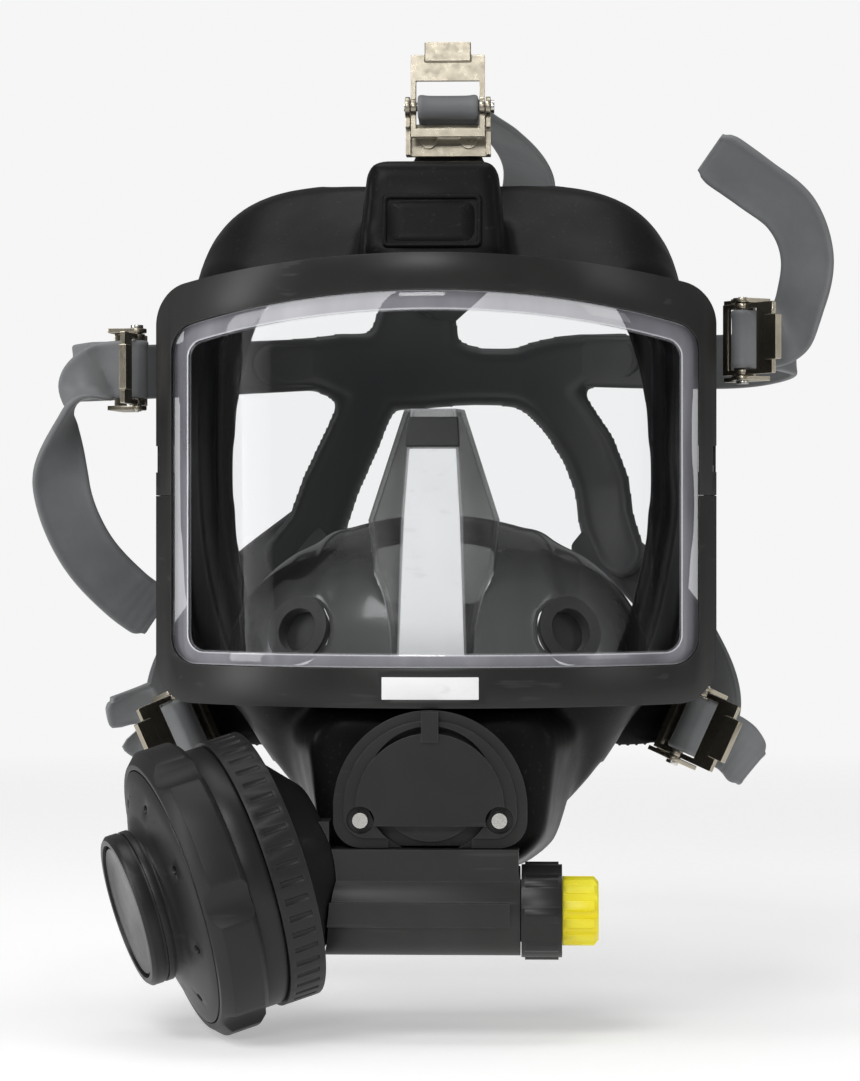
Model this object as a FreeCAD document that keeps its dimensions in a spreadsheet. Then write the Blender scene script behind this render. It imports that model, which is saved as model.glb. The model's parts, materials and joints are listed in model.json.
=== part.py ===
import FreeCAD, Part
import math
import os
import re
import Sketcher

# Full face respirator: a rubber face mask with a curved visor, an inner mask, a chin port with
# an exhaust valve, a demand regulator with its inlet tube, and a five-strap head harness.
# X runs to the viewer's right, Y from the visor towards the wearer's head, Z up, in millimetres.
# The origin is the centre of the face seal's opening. The visor is a cylinder about the Z axis.

V = FreeCAD.Vector
UP = V(0, 0, 1)

DIMENSIONS = {
    # shared gaps
    "seat_gap": 0.2,
    "pin_gap": 0.1,
    "far": 260,
    # frame, visor and rim outlines, seen from the front
    "frame_half_width": 84.7, "frame_top": 71, "frame_bottom": -60.5,
    "frame_arch": 450, "frame_corner": 12,
    "lens_half_width": 82.4, "lens_top": 67.5, "lens_bottom": -57,
    "lens_arch": 430, "lens_corner": 9,
    "rim_half_width": 79, "rim_top": 60.2, "rim_bottom": -48.9,
    "rim_arch": 345, "rim_corner": 8,
    "window_half_width": 73.7, "window_top": 54.8, "window_bottom": -45.2,
    "window_arch": 340, "window_corner": 5,
    # radii of the curved layers about the Z axis, from the skirt out to the frame
    "skirt_limit": 85.8, "frame_inner": 86, "flange_outer": 91.3, "lens_inner": 91.5,
    "lens_outer": 94.5, "rim_outer": 98, "frame_outer": 100,
    "split_height": 1.5, "split_gap": 0.2,
    "screw_across": 81.9, "screw_depth": 52.7, "screw_radius": 1, "screw_length": 14,
    "screw_head": 1.9, "head_height": 2, "insert_radius": 1.7, "insert_length": 5,
    "notch_base": 8.5, "notch_height": 8, "notch_depth": 3.2,
    "plate_half_width": 14, "plate_low": -58, "plate_high": -51.5, "plate_rise": 0.5,
    # rubber skirt
    "rubber_wall": 3, "skirt_centre": 5, "skirt_front": -96, "skirt_neck": -66,
    "dome_depth": -35, "dome_half": 77, "dome_top": 97, "dome_bottom": -112,
    "back_depth": 14, "back_half": 74, "back_top": 99.5, "back_bottom": -116,
    "head_radius": 81, "head_centre": 51, "lip_thickness": 3.5,
    "opening_half": 66, "opening_top": 84, "opening_bottom": -98,
    "chin_front": -85, "chin_back": -40, "chin_top": -61.5, "chin_chamfer": 8,
    "chin_front_wide": 37, "chin_front_narrow": 32, "chin_front_low": -107,
    "chin_back_wide": 50, "chin_back_narrow": 34, "chin_back_low": -112,
    "block_half": 23, "block_crown_half": 19, "block_base": 62, "block_crown": 100,
    "block_front": -88, "block_back": -45, "crown_front": -80, "crown_back": -55,
    "badge_half": 13, "badge_low": 75, "badge_height": 13, "badge_depth": 1,
    "collar_height": -84, "collar_outer": 19, "collar_inner": 16.2, "collar_front": -89,
    # inner mask
    "cup_half": 65, "cup_depth": 48, "cup_height": 46, "cup_wall": 2,
    "cup_back": -32, "cup_centre": -50,
    "nose_wall": 1.4, "nose_back": -58,
    "nose_top": 27, "nose_top_half": 6.5, "nose_top_side": 9, "nose_top_face": -72,
    "nose_mid": -6, "nose_mid_half": 8.6, "nose_mid_side": 19.5, "nose_mid_face": -84,
    "nose_low": -47, "nose_low_half": 10, "nose_low_side": 15, "nose_low_face": -87,
    "strip_top": 15, "strip_low": -46, "strip_thickness": 0.8,
    "clip_half": 5, "clip_low": 15.5, "clip_height": 9,
    "check_across": 40, "check_height": -39,
    "seat_hole": 6.5, "seat_radius": 9, "seat_flange": 10.5, "seat_depth": 3,
    "flap_radius": 8.2, "flap_thickness": 0.8,
    # chin port and exhaust cover
    "port_radius": 28, "port_centre": -89, "port_bottom": -100.7, "port_corner": 8,
    "port_front": -97, "port_back": -90, "spigot_radius": 16, "spigot_bore": 12,
    "spigot_end": -58, "cover_front": -103, "cover_step": 1.6, "cover_cavity": 18.5,
    "disc_radius": 15, "disc_thickness": 1.2,
    "clip_pin_across": 20, "clip_pin_height": -92.5, "clip_pin_radius": 2.2,
    "clip_pin_recess": 4,
    "band_inner": 19.2, "band_outer": 21,
    # inlet tube along X
    "tube_depth": -94, "tube_height": -119.2, "tube_radius": 12.9, "tube_left": -39,
    "tube_right": 26, "hose_bore": 6, "hose_bore_start": 10, "hose_bore_end": 28.5,
    "filter_start": 6, "filter_radius": 5.5, "passage": 5, "passage_start": -30,
    "spigot_right": 31, "link_left": -43, "link_right": 25.5, "link_top": -100.9,
    "link_front": -103, "link_back": -90.2,
    "nut_start": 26.3, "nut_end": 38, "nut_radius": 14.4, "nut_bore": 9.2, "nut_lugs": 8,
    "plug_end": 48.5, "plug_radius": 10, "plug_flutes": 12, "plug_stem": 9,
    # regulator, in its own frame: z along its outward axis
    "case_radius": 35.5, "case_back": -38, "case_cone": 20, "case_shoulder": -25,
    "neck_radius": 39, "neck_low": -14, "neck_high": -7, "rim_radius": 36.5,
    "rim_height": 5, "case_inner": 33, "case_floor": -19, "ledge_radius": 34.6,
    "ledge_height": 1.5, "clamp_radius": 40, "clamp_teeth": 48,
    "ring_inner": 36.8, "ring_outer": 43, "ring_height": 7, "ring_lobes": 6,
    "cover_rim": 36.6, "shoulder_radius": 38, "shoulder_height": 7.2, "hub_radius": 22.5,
    "hub_base": 12, "hub_height": 21, "hub_inner": 19.9,
    "button_radius": 19.7, "button_top": 20.4, "button_skirt": 17.6, "button_stem": 3,
    "spring_radius": 8, "spring_wire": 0.5, "spring_low": 13.05,
    "plate_radius": 16.8, "plate_base": 1.6, "plate_thickness": 1,
    "lever_pivot": 20, "lever_height": -3.5, "lever_width": 5, "poppet_height": -15,
    "foot_low": -21.5, "foot_high": -19.7,
    # strap buckles, in their own frame: x along the pin, z up to the free bar
    "buckle_half": 11, "buckle_top": 15.4, "buckle_rail": 1.6, "buckle_sheet": 1.5,
    "buckle_bar": 7.6, "buckle_foot": 6.4, "buckle_foot_low": 9, "tongue_top": 19,
    "buckle_pin": 1.3, "pin_half": 13, "ear_gap": 11.3, "ear_sheet": 1.4, "ear_radius": 3,
    "base_near": 7.5, "base_sheet": 1.2, "base_low": -14, "base_high": -4.2,
    "tab_thickness": 4, "rivet_radius": 1.5, "rivet_across": 6, "rivet_height": -9,
    # straps and head harness
    "strap_width": 18, "strap_thickness": 2.2, "fold_radius": 2.6, "lead_in": 15, "lead_out": 10,
    "harness_inner": 95, "harness_outer": 98, "harness_centre": 5,
    "harness_band_half": 45, "harness_band_low": 34, "harness_band_high": 60,
}

# The regulator leans down and to the left of the chin.
REGULATOR_CENTRE = V(-68.6, -95, -113.3)
REGULATOR_AXIS = V(-0.906, -0.317, -0.281)

# Each buckle: pin centre, direction the strap leaves in, pin direction, root of its rubber lug.
BUCKLES = {
    "top": (V(4.2, -68, 116.9), V(0, 1, 0), V(1, 0, 0), V(1, -62, 90)),
    "temple_right": (V(94, -28, 50), V(0.82, 0.57, 0), V(0, 0, -1), V(73.5, -7, 50)),
    "temple_left": (V(-93.6, -28, 41), V(-0.985, 0.17, 0), V(0, 0, 1), V(-73.5, -7, 41)),
    "chin_right": (V(78, -20, -69), V(0.6, 0.75, -0.3), V(-0.38, 0, -0.92), V(56, -12, -66)),
    "chin_left": (V(-78, -22, -70), V(-0.6, 0.75, -0.3), V(-0.38, 0, 0.92), V(-56, -14, -66)),
}

# Each strap: the run to the harness, then the loose tail, as places and width directions.
HARNESS_RUNS = {
    "top": [(V(7, -40, 119), V(1, 0, 0)), (V(18, -14, 117), V(0.9, 0.1, -0.35)),
            (V(28, 24, 106), V(0.88, 0.1, -0.4)), (V(18, 74, 89), V(1, 0.1, -0.2)),
            (V(-8, 101, 68), V(1, 0, 0))],
    "temple_right": [(V(112, 0, 49), V(0, 0, -1)), (V(101, 32, 47), V(0, 0, -1)),
                     (V(76, 66, 48), V(0, 0, -1)), (V(46, 92, 50), V(0, 0, -1))],
    "temple_left": [(V(-116, -6, 41), V(0, 0, 1)), (V(-106, 30, 43), V(0, 0, 1)),
                    (V(-78, 66, 46), V(0, 0, 1)), (V(-46, 92, 49), V(0, 0, 1))],
    "chin_right": [(V(92, 12, -76), V(-0.3, -0.1, -0.95)), (V(88, 46, -56), V(-0.2, -0.4, -0.9)),
                   (V(68, 80, -26), V(-0.3, -0.4, -0.9)), (V(49, 94, -8), V(-0.7, -0.2, -0.7))],
    "chin_left": [(V(-92, 10, -76), V(-0.3, 0.1, 0.95)), (V(-90, 44, -56), V(-0.2, 0.4, 0.9)),
                  (V(-70, 78, -26), V(-0.3, 0.4, 0.9)), (V(-48, 94, -6), V(-0.7, 0.2, 0.7))],
}
TAILS = {
    "top": [(V(4, -42, 113.5), V(1, 0, 0)), (V(5, -28, 111), V(1, 0, 0))],
    "temple_right": [(V(108, -24, 53), V(0.2, -0.1, -1)), (V(112, -26, 62), V(0.6, -0.5, -0.6)),
                     (V(114, -26, 76), V(0.85, -0.5, -0.17)), (V(109, -27, 89), V(0.8, -0.45, 0.4)),
                     (V(98, -27, 98), V(0.55, -0.45, 0.7)), (V(84, -27, 108), V(0.5, -0.4, 0.75))],
    "temple_left": [(V(-109, -32, 36), V(0, 0.4, 0.9)), (V(-114, -36, 25), V(0.2, 0.9, 0.3)),
                    (V(-117, -31, 6), V(0.9, 0.45, -0.2)), (V(-111, -22, -14), V(0.9, 0.3, 0.3)),
                    (V(-99, -12, -29), V(0.7, 0.1, 0.7)), (V(-90, -7, -36), V(0.5, 0.1, 0.8))],
    "chin_right": [(V(93, -11, -77), V(-0.4, 0, -0.9)), (V(98, -5, -84), V(-0.5, -0.2, -0.8))],
    "chin_left": [(V(-93, -15, -72), V(-0.38, 0, 0.92)), (V(-97, -18, -59), V(-0.8, -0.5, 0.3))],
}

# Harness arms: root across, root height, angle from X, length and width.
HARNESS_ARMS = [
    (-11, 50, 90, 34, 24), (36, 50, 0, 22, 20), (-36, 49, 180, 22, 20),
    (-24, 52, 141, 30, 14), (30, 52, 40, 32, 14),
    (-24, 44, 243, 62, 18), (20, 46, 296, 66, 18),
]

doc = FreeCAD.newDocument("respirator")
sheet = doc.addObject("Spreadsheet::Sheet", "Dimensions")
for row, (name, number) in enumerate(DIMENSIONS.items(), start=1):
    sheet.set("A%d" % row, name)
    sheet.set("B%d" % row, str(number))
    sheet.setAlias("B%d" % row, name)
doc.recompute()

nodes = []


# ---------------------------------------------------------------- general helpers

def size(name):
    return float(sheet.get(name))


def ref(text):
    """Turn a formula in the sheet's words into a FreeCAD expression."""
    return re.sub(r"[a-z][a-z0-9_]*", lambda found: "Dimensions." + found.group(0), str(text))


def bind(item, **formulas):
    for prop, text in formulas.items():
        item.setExpression(prop, ref(text))


def at(item, x="0", y="0", z="0"):
    for letter, text in (("x", x), ("y", y), ("z", z)):
        item.setExpression("Placement.Base." + letter, ref(text))
    return item


def turn(item, axis, degrees):
    item.Placement = FreeCAD.Placement(item.Placement.Base, FreeCAD.Rotation(axis, degrees))
    return item


def node(item, label):
    item.Label = label
    nodes.append(item)
    return item


def box(name, length, width, height, x="0", y="0", z="0"):
    item = doc.addObject("Part::Box", name)
    bind(item, Length=length, Width=width, Height=height)
    return at(item, x, y, z)


def span_box(name, x0, x1, y0, y1, z0, z1):
    """A box between two formulas along each axis."""
    return box(name, "(%s) - (%s)" % (x1, x0), "(%s) - (%s)" % (y1, y0),
               "(%s) - (%s)" % (z1, z0), x0, y0, z0)


def rod(name, radius, start, end, axis="z", a="0", b="0"):
    """A cylinder between two formulas along one axis; a and b place it across that axis."""
    item = doc.addObject("Part::Cylinder", name)
    bind(item, Radius=radius, Height="(%s) - (%s)" % (end, start))
    if axis == "x":
        turn(item, V(0, 1, 0), 90)
        return at(item, start, a, b)
    if axis == "y":
        turn(item, V(1, 0, 0), -90)
        return at(item, a, start, b)
    return at(item, a, b, start)


def boolean(kind, name, pieces):
    item = doc.addObject("Part::" + kind, name)
    item.Shapes = pieces
    return item


def fuse(name, *pieces):
    return boolean("MultiFuse", name, list(pieces))


def common(name, *pieces):
    return boolean("MultiCommon", name, list(pieces))


def cut(name, base, *tools):
    item = doc.addObject("Part::Cut", name)
    item.Base = base
    item.Tool = tools[0] if len(tools) == 1 else fuse(name + "_tools", *tools)
    item.Refine = False
    return item


def group(name, items):
    item = doc.addObject("Part::Compound", name)
    item.Links = items
    return item


def feature(name, shape):
    item = doc.addObject("Part::Feature", name)
    item.Shape = shape
    return item


def sketch_on(body, name, role):
    plane = next(part for part in body.Origin.OriginFeatures if part.Role == role)
    sketch = body.newObject("Sketcher::SketchObject", name)
    sketch.AttachmentSupport = (plane, "")
    sketch.MapMode = "FlatFace"
    return sketch


def dimension(sketch, kind, places, start, text):
    index = sketch.addConstraint(Sketcher.Constraint(kind, *places, start))
    sketch.setExpression("Constraints[%d]" % index, ref(text))


def polygon(sketch, points):
    count = len(points)
    ring = [V(2 + math.cos(2 * math.pi * i / count), math.sin(2 * math.pi * i / count), 0)
            for i in range(count)]
    for i in range(count):
        sketch.addGeometry(Part.LineSegment(ring[i], ring[(i + 1) % count]), False)
    for i in range(count):
        sketch.addConstraint(Sketcher.Constraint("Coincident", i, 2, (i + 1) % count, 1))
    for i, (x, y) in enumerate(points):
        dimension(sketch, "DistanceX", (-1, 1, i, 1), ring[i].x, x)
        dimension(sketch, "DistanceY", (-1, 1, i, 1), ring[i].y, y)


def turned(name, points):
    """A body of revolution about its own Z axis, from radius and height formulas."""
    body = doc.addObject("PartDesign::Body", name)
    sketch = sketch_on(body, name + "_profile", "XZ_Plane")
    polygon(sketch, points)
    revolution = body.newObject("PartDesign::Revolution", name + "_revolution")
    revolution.Profile = sketch
    revolution.ReferenceAxis = (sketch, ["V_Axis"])
    revolution.Angle = 360
    return body


def ring(name, inner, outer, low, high):
    return turned(name, [(inner, low), (outer, low), (outer, high), (inner, high)])


def lay(item, axis, x="0", y="0", z="0"):
    """Turn a body's own Z axis onto world X or Y and place it."""
    if axis == "x":
        turn(item, V(0, 1, 0), 90)
    else:
        turn(item, V(1, 0, 0), -90)
    return at(item, x, y, z)


def frame_of(across, along):
    """Rotation whose x is near across and whose y is along."""
    y_axis = V(along).normalize()
    z_axis = V(across).cross(y_axis).normalize()
    return FreeCAD.Rotation(y_axis.cross(z_axis), y_axis, z_axis, "YZX")


# ---------------------------------------------------------------- outlines seen from the front

def arched_outline(sketch, word, grow):
    """A wide window outline with a gently arched top and rounded corners."""
    half, top, bottom, arch, corner = (
        "%s_%s + %s" % (word, key, grow) for key in ("half_width", "top", "bottom", "arch", "corner"))
    bottom = "%s_bottom - %s" % (word, grow)
    quarter = math.pi / 2
    shapes = [
        Part.LineSegment(V(-60, -60, 0), V(60, -60, 0)),
        Part.ArcOfCircle(Part.Circle(V(70, -50, 0), UP, 10), -quarter, 0),
        Part.LineSegment(V(80, -40, 0), V(80, 50, 0)),
        Part.ArcOfCircle(Part.Circle(V(70, 56, 0), UP, 10), 0, quarter - 0.15),
        Part.ArcOfCircle(Part.Circle(V(0, -380, 0), UP, 450), quarter - 0.16, quarter + 0.16),
        Part.ArcOfCircle(Part.Circle(V(-70, 56, 0), UP, 10), quarter + 0.15, math.pi),
        Part.LineSegment(V(-80, 50, 0), V(-80, -40, 0)),
        Part.ArcOfCircle(Part.Circle(V(-70, -50, 0), UP, 10), math.pi, 3 * quarter),
    ]
    for shape in shapes:
        sketch.addGeometry(shape, False)
    for i in range(8):
        sketch.addConstraint(Sketcher.Constraint("Tangent", i, 2, (i + 1) % 8, 1))
    sketch.addConstraint(Sketcher.Constraint("Horizontal", 0))
    sketch.addConstraint(Sketcher.Constraint("Vertical", 2))
    sketch.addConstraint(Sketcher.Constraint("Vertical", 6))
    sketch.addConstraint(Sketcher.Constraint("PointOnObject", 4, 3, -2))
    dimension(sketch, "DistanceX", (-1, 1, 2, 1), 80, half)
    dimension(sketch, "DistanceX", (-1, 1, 6, 1), -80, "0 - (%s)" % half)
    dimension(sketch, "DistanceY", (-1, 1, 0, 1), -60, bottom)
    dimension(sketch, "DistanceY", (-1, 1, 4, 3), -380, "%s - (%s)" % (top, arch))
    for corner_arc in (1, 3, 5, 7):
        dimension(sketch, "Radius", (corner_arc,), 10, corner)
    dimension(sketch, "Radius", (4,), 450, arch)


def arched_slab(word, grow="0"):
    """The outline called word, grown by a formula and padded towards the viewer."""
    body = doc.addObject("PartDesign::Body", word + "_slab")
    sketch = sketch_on(body, word + "_outline", "XZ_Plane")
    arched_outline(sketch, word, grow)
    pad = body.newObject("PartDesign::Pad", word + "_pad")
    pad.Profile = sketch
    bind(pad, Length="far / 2")
    return body


def port_slab(name, inset, back, front):
    """A D-shaped slab: half a circle over a straight-sided foot with rounded corners."""
    body = doc.addObject("PartDesign::Body", name)
    sketch = sketch_on(body, name + "_outline", "XZ_Plane")
    quarter = math.pi / 2
    shapes = [
        Part.LineSegment(V(-20, -100, 0), V(20, -100, 0)),
        Part.ArcOfCircle(Part.Circle(V(20, -92, 0), UP, 8), -quarter, 0),
        Part.LineSegment(V(28, -92, 0), V(28, -89, 0)),
        Part.ArcOfCircle(Part.Circle(V(0, -89, 0), UP, 28), 0, math.pi),
        Part.LineSegment(V(-28, -89, 0), V(-28, -92, 0)),
        Part.ArcOfCircle(Part.Circle(V(-20, -92, 0), UP, 8), math.pi, 3 * quarter),
    ]
    for shape in shapes:
        sketch.addGeometry(shape, False)
    for i in range(6):
        sketch.addConstraint(Sketcher.Constraint("Tangent", i, 2, (i + 1) % 6, 1))
    sketch.addConstraint(Sketcher.Constraint("Horizontal", 0))
    sketch.addConstraint(Sketcher.Constraint("Vertical", 2))
    sketch.addConstraint(Sketcher.Constraint("PointOnObject", 3, 3, -2))
    dimension(sketch, "DistanceY", (-1, 1, 3, 3), -89, "port_centre")
    dimension(sketch, "DistanceY", (-1, 1, 0, 1), -100, "port_bottom + %s" % inset)
    dimension(sketch, "Radius", (3,), 28, "port_radius - %s" % inset)
    dimension(sketch, "Radius", (1,), 8, "port_corner - %s / 2" % inset)
    dimension(sketch, "Radius", (5,), 8, "port_corner - %s / 2" % inset)
    pad = body.newObject("PartDesign::Pad", name + "_pad")
    pad.Profile = sketch
    bind(pad, Length="(%s) - (%s)" % (back, front))
    return at(body, "0", back, "0")


def upright_shell(name, inner, outer):
    """A tube about the Z axis between two radii."""
    return cut(name, rod(name + "_outside", outer, "0 - far / 2", "far / 2"),
               rod(name + "_inside", inner, "0 - far / 2", "far / 2"))


# ---------------------------------------------------------------- visor and frame

def build_visor():
    lens = common("lens", arched_slab("lens"), upright_shell("lens_layer", "lens_inner", "lens_outer"))
    rim = common("raised_rim", arched_slab("rim"),
                 upright_shell("rim_layer", "lens_outer - seat_gap", "rim_outer"))
    opened = cut("open_rim", rim, common("rim_opening", arched_slab("window"),
                                         rod("rim_reach", "far / 2", "0 - far / 2", "far / 2")))
    node(fuse("visor", lens, opened), "visor")


def frame_ring():
    block = common("frame_block", arched_slab("frame"),
                   upright_shell("frame_layer", "frame_inner", "frame_outer"))
    seat = common("frame_seat", arched_slab("lens", "seat_gap"),
                  rod("frame_seat_reach", "lens_outer + seat_gap", "0 - far / 2", "far / 2"))
    opening = arched_slab("rim", "seat_gap")
    return cut("frame_ring", block, seat, opening)


def frame_hardware_holes():
    """Screw holes, insert pockets and access notches in both side members."""
    holes = []
    for side, sign in (("left", "0 - "), ("right", "")):
        across = sign + "screw_across"
        depth = "0 - screw_depth"
        holes.append(rod(side + "_screw_hole", "screw_radius + pin_gap", "0 - insert_length * 2",
                         "notch_base", "z", across, depth))
        holes.append(rod(side + "_insert_hole", "insert_radius + pin_gap / 2",
                         "0 - insert_length - 1", "split_height", "z", across, depth))
        holes.append(span_box(side + "_notch", "%s(screw_across) - notch_depth" % sign,
                              "%s(screw_across) + notch_depth" % sign,
                              "%s - notch_depth / 1.4" % depth, "%s + notch_depth" % depth,
                              "notch_base", "notch_base + notch_height"))
    return holes


def build_frame():
    whole = cut("drilled_frame", frame_ring(), *frame_hardware_holes())
    upper = common("frame_upper", whole, span_box("upper_half", "0 - far", "far", "0 - far", "far",
                                                  "split_height + split_gap / 2", "far"))
    node(upper, "frame_upper")
    lower = common("lower_frame", whole, span_box("lower_half", "0 - far", "far", "0 - far", "far",
                                                  "0 - far", "split_height - split_gap / 2"))
    recess = common("plate_seat", span_box("plate_area", "0 - plate_half_width - pin_gap",
                                           "plate_half_width + pin_gap", "0 - far", "0 - 60",
                                           "plate_low - pin_gap", "plate_high + pin_gap"),
                    upright_shell("plate_seat_layer", "frame_outer - plate_rise", "frame_outer + 5"))
    node(cut("frame_lower", lower, recess), "frame_lower")
    plate = common("name_plate", span_box("plate_blank", "0 - plate_half_width", "plate_half_width",
                                          "0 - far", "0 - 60", "plate_low", "plate_high"),
                   upright_shell("plate_layer", "frame_outer - plate_rise", "frame_outer + 0.4"))
    node(plate, "name_plate")


def build_frame_screws():
    screws = []
    inserts = []
    for side, sign in (("left", "0 - "), ("right", "")):
        across = sign + "screw_across"
        depth = "0 - screw_depth"
        shank = rod(side + "_shank", "screw_radius", "notch_base - screw_length",
                    "notch_base", "z", across, depth)
        head = rod(side + "_head", "screw_head", "notch_base",
                   "notch_base + head_height", "z", across, depth)
        socket = rod(side + "_socket", "screw_head / 2", "notch_base + head_height / 2",
                     "notch_base + head_height + 1", "z", across, depth)
        screws.append(cut(side + "_screw", fuse(side + "_screw_body", shank, head), socket))
        sleeve = rod(side + "_sleeve", "insert_radius", "0 - insert_length - 0.9",
                     "split_height - split_gap", "z", across, depth)
        thread = rod(side + "_thread", "screw_radius + pin_gap / 2", "0 - far", "far",
                     "z", across, depth)
        inserts.append(cut(side + "_insert", sleeve, thread))
    node(group("frame_screws", screws), "frame_screws")
    node(group("frame_inserts", inserts), "frame_inserts")


# ---------------------------------------------------------------- rubber skirt

def superellipse(depth, half, top, bottom, power_up, power_down):
    """A closed smooth outline at one depth, squarer for higher powers."""
    centre = size("skirt_centre")
    points = []
    steps = 32
    for i in range(steps):
        angle = 2 * math.pi * i / steps
        c, s = math.cos(angle), math.sin(angle)
        power = power_up if s >= 0 else power_down
        reach = top - centre if s >= 0 else centre - bottom
        x = half * math.copysign(abs(c) ** (2 / power), c)
        z = centre + reach * math.copysign(abs(s) ** (2 / power), s)
        points.append(V(x, depth, z))
    curve = Part.BSplineCurve()
    curve.interpolate(Points=points, PeriodicFlag=True)
    return Part.Wire([curve.toShape()])


def chamfered(depth, wide, narrow, top, bottom, chamfer):
    """The chin's outline at one depth: wide at the top, narrow below, corners cut."""
    slope = (wide - narrow) / (top - bottom)
    points = [(wide - chamfer, top), (wide - chamfer * slope, top - chamfer),
              (narrow + chamfer * slope, bottom + chamfer), (narrow - chamfer, bottom)]
    right = [V(x, depth, z) for x, z in points]
    left = [V(-x, depth, z) for x, z in reversed(points)]
    return Part.makePolygon(right + left + [right[0]])


def dome(inset):
    """The skirt's main volume, shrunk by inset on every side."""
    half = size("lens_half_width") - size("seat_gap") - inset
    top = size("lens_top") - size("seat_gap") - inset
    low = size("lens_bottom") + size("seat_gap") + inset
    sections = [
        superellipse(size("skirt_front") - inset, half, top, low, 4.5, 7),
        superellipse(size("skirt_neck"), half, top, low, 4.5, 7),
        superellipse(size("dome_depth"), size("dome_half") - inset, size("dome_top") - inset,
                     size("dome_bottom") + inset, 4.6, 1.9),
        superellipse(size("back_depth") + inset, size("back_half") - inset,
                     size("back_top") - inset, size("back_bottom") + inset, 4, 1.6),
    ]
    return Part.makeLoft(sections, True, True)


def chin(inset):
    """The funnel that carries the port, shrunk by inset."""
    cut_corner = size("chin_chamfer")
    front = chamfered(size("chin_front") + inset, size("chin_front_wide") - inset,
                      size("chin_front_narrow") - inset, size("chin_top") - inset,
                      size("chin_front_low") + inset, cut_corner)
    back = chamfered(size("chin_back"), size("chin_back_wide") - inset,
                     size("chin_back_narrow") - inset, size("chin_top") - inset,
                     size("chin_back_low") + inset, cut_corner)
    return Part.makeLoft([front, back], True, True)


def cylinder(radius, start, end):
    return Part.makeCylinder(radius, (end - start).Length, start, end - start)


def head_cylinder(radius):
    depth = size("head_centre")
    return cylinder(radius, V(0, depth, -size("far")), V(0, depth, size("far")))


def rectangle(centre, x_axis, y_axis, width, height):
    a = x_axis * (width / 2)
    b = y_axis * (height / 2)
    return Part.makePolygon([centre - a - b, centre + a - b, centre + a + b, centre - a + b,
                             centre - a - b])


def buckle_placement(name):
    pin, leaving, across, _ = BUCKLES[name]
    return FreeCAD.Placement(pin, frame_of(across, leaving))


def local_box(placement, x0, x1, y0, y1, z0, z1):
    shape = Part.makeBox(x1 - x0, y1 - y0, z1 - z0, V(x0, y0, z0))
    shape.Placement = placement
    return shape


def lug(name):
    """A rubber lug from the skirt to a buckle's base, in world coordinates."""
    placement = buckle_placement(name)
    root = BUCKLES[name][3]
    near = size("base_near") + size("base_sheet") + size("pin_gap")
    far = near + size("tab_thickness")
    high = size("base_high") + size("pin_gap") / 2
    low = size("base_low") - size("pin_gap")
    half = size("buckle_half")
    tab = local_box(placement, -half, half, near, far, low - 2, high)
    x_axis = placement.Rotation.multVec(V(1, 0, 0))
    y_axis = placement.Rotation.multVec(V(0, 1, 0))
    centre = placement.multVec(V(0, (near + far) / 2, low - 1))
    arm = Part.makeLoft([
        rectangle(centre, x_axis, y_axis, 2 * half, far - near),
        rectangle(root, x_axis, y_axis, 2.3 * half, 2 * (far - near))], True, True)
    clear = [local_box(placement, -15, 15, -15, near, low + 0.05, 30),
             local_box(placement, -15, 15, -15, 60, high, 40)]
    solid = tab.fuse(arm)
    for tool in clear:
        solid = solid.cut(tool)
    for side in (-1, 1):
        x = side * size("rivet_across")
        start = placement.multVec(V(x, near - 10, size("rivet_height")))
        end = placement.multVec(V(x, far + 10, size("rivet_height")))
        solid = solid.cut(cylinder(size("rivet_radius") + size("pin_gap"), start, end))
    return solid


def forehead_block():
    base = size("block_base")
    crown = size("block_crown")
    middle_low = V(0, (size("block_front") + size("block_back")) / 2, base)
    middle_high = V(0, (size("crown_front") + size("crown_back")) / 2, crown)
    x_axis, y_axis = V(1, 0, 0), V(0, 1, 0)
    solid = Part.makeLoft([
        rectangle(middle_low, x_axis, y_axis, 2 * size("block_half"),
                  size("block_back") - size("block_front")),
        rectangle(middle_high, x_axis, y_axis, 2 * size("block_crown_half"),
                  size("crown_back") - size("crown_front"))], True, True)
    lean = math.atan2(size("crown_front") - size("block_front"), crown - base)
    low = size("badge_low")
    front = size("block_front") + (low - base) * math.tan(lean)
    badge = Part.makeBox(2 * size("badge_half"), 20, size("badge_height"),
                         V(-size("badge_half"), size("badge_depth") - 20, 0))
    badge.Placement = FreeCAD.Placement(V(0, front, low),
                                        FreeCAD.Rotation(V(1, 0, 0), -math.degrees(lean)))
    return solid.cut(badge)


def frame_clearance():
    """The space that the frame takes around the skirt's neck."""
    height = size("frame_top") - size("frame_bottom") + 2
    low = size("frame_bottom") - 0.8
    wide = Part.makeCylinder(size("far"), height, V(0, 0, low))
    tube = wide.cut(Part.makeCylinder(size("skirt_limit"), height, V(0, 0, low)))
    half = size("lens_half_width")
    behind = Part.makeBox(4 * half, 2 * half, height, V(-2 * half, 0, low))
    slab = arched_slab("lens", "(0 - seat_gap)")
    doc.recompute()
    neck = slab.Shape.common(Part.makeCylinder(size("flange_outer"), size("far"),
                                               V(0, 0, -size("far") / 2)))
    return tube.cut(behind).cut(neck)


def collar():
    height = size("collar_height")
    return cylinder(size("collar_outer"), V(0, size("collar_front"), height),
                    V(0, size("chin_front") + 6, height))


def hollow(inset):
    return dome(inset).fuse(chin(inset))


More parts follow.
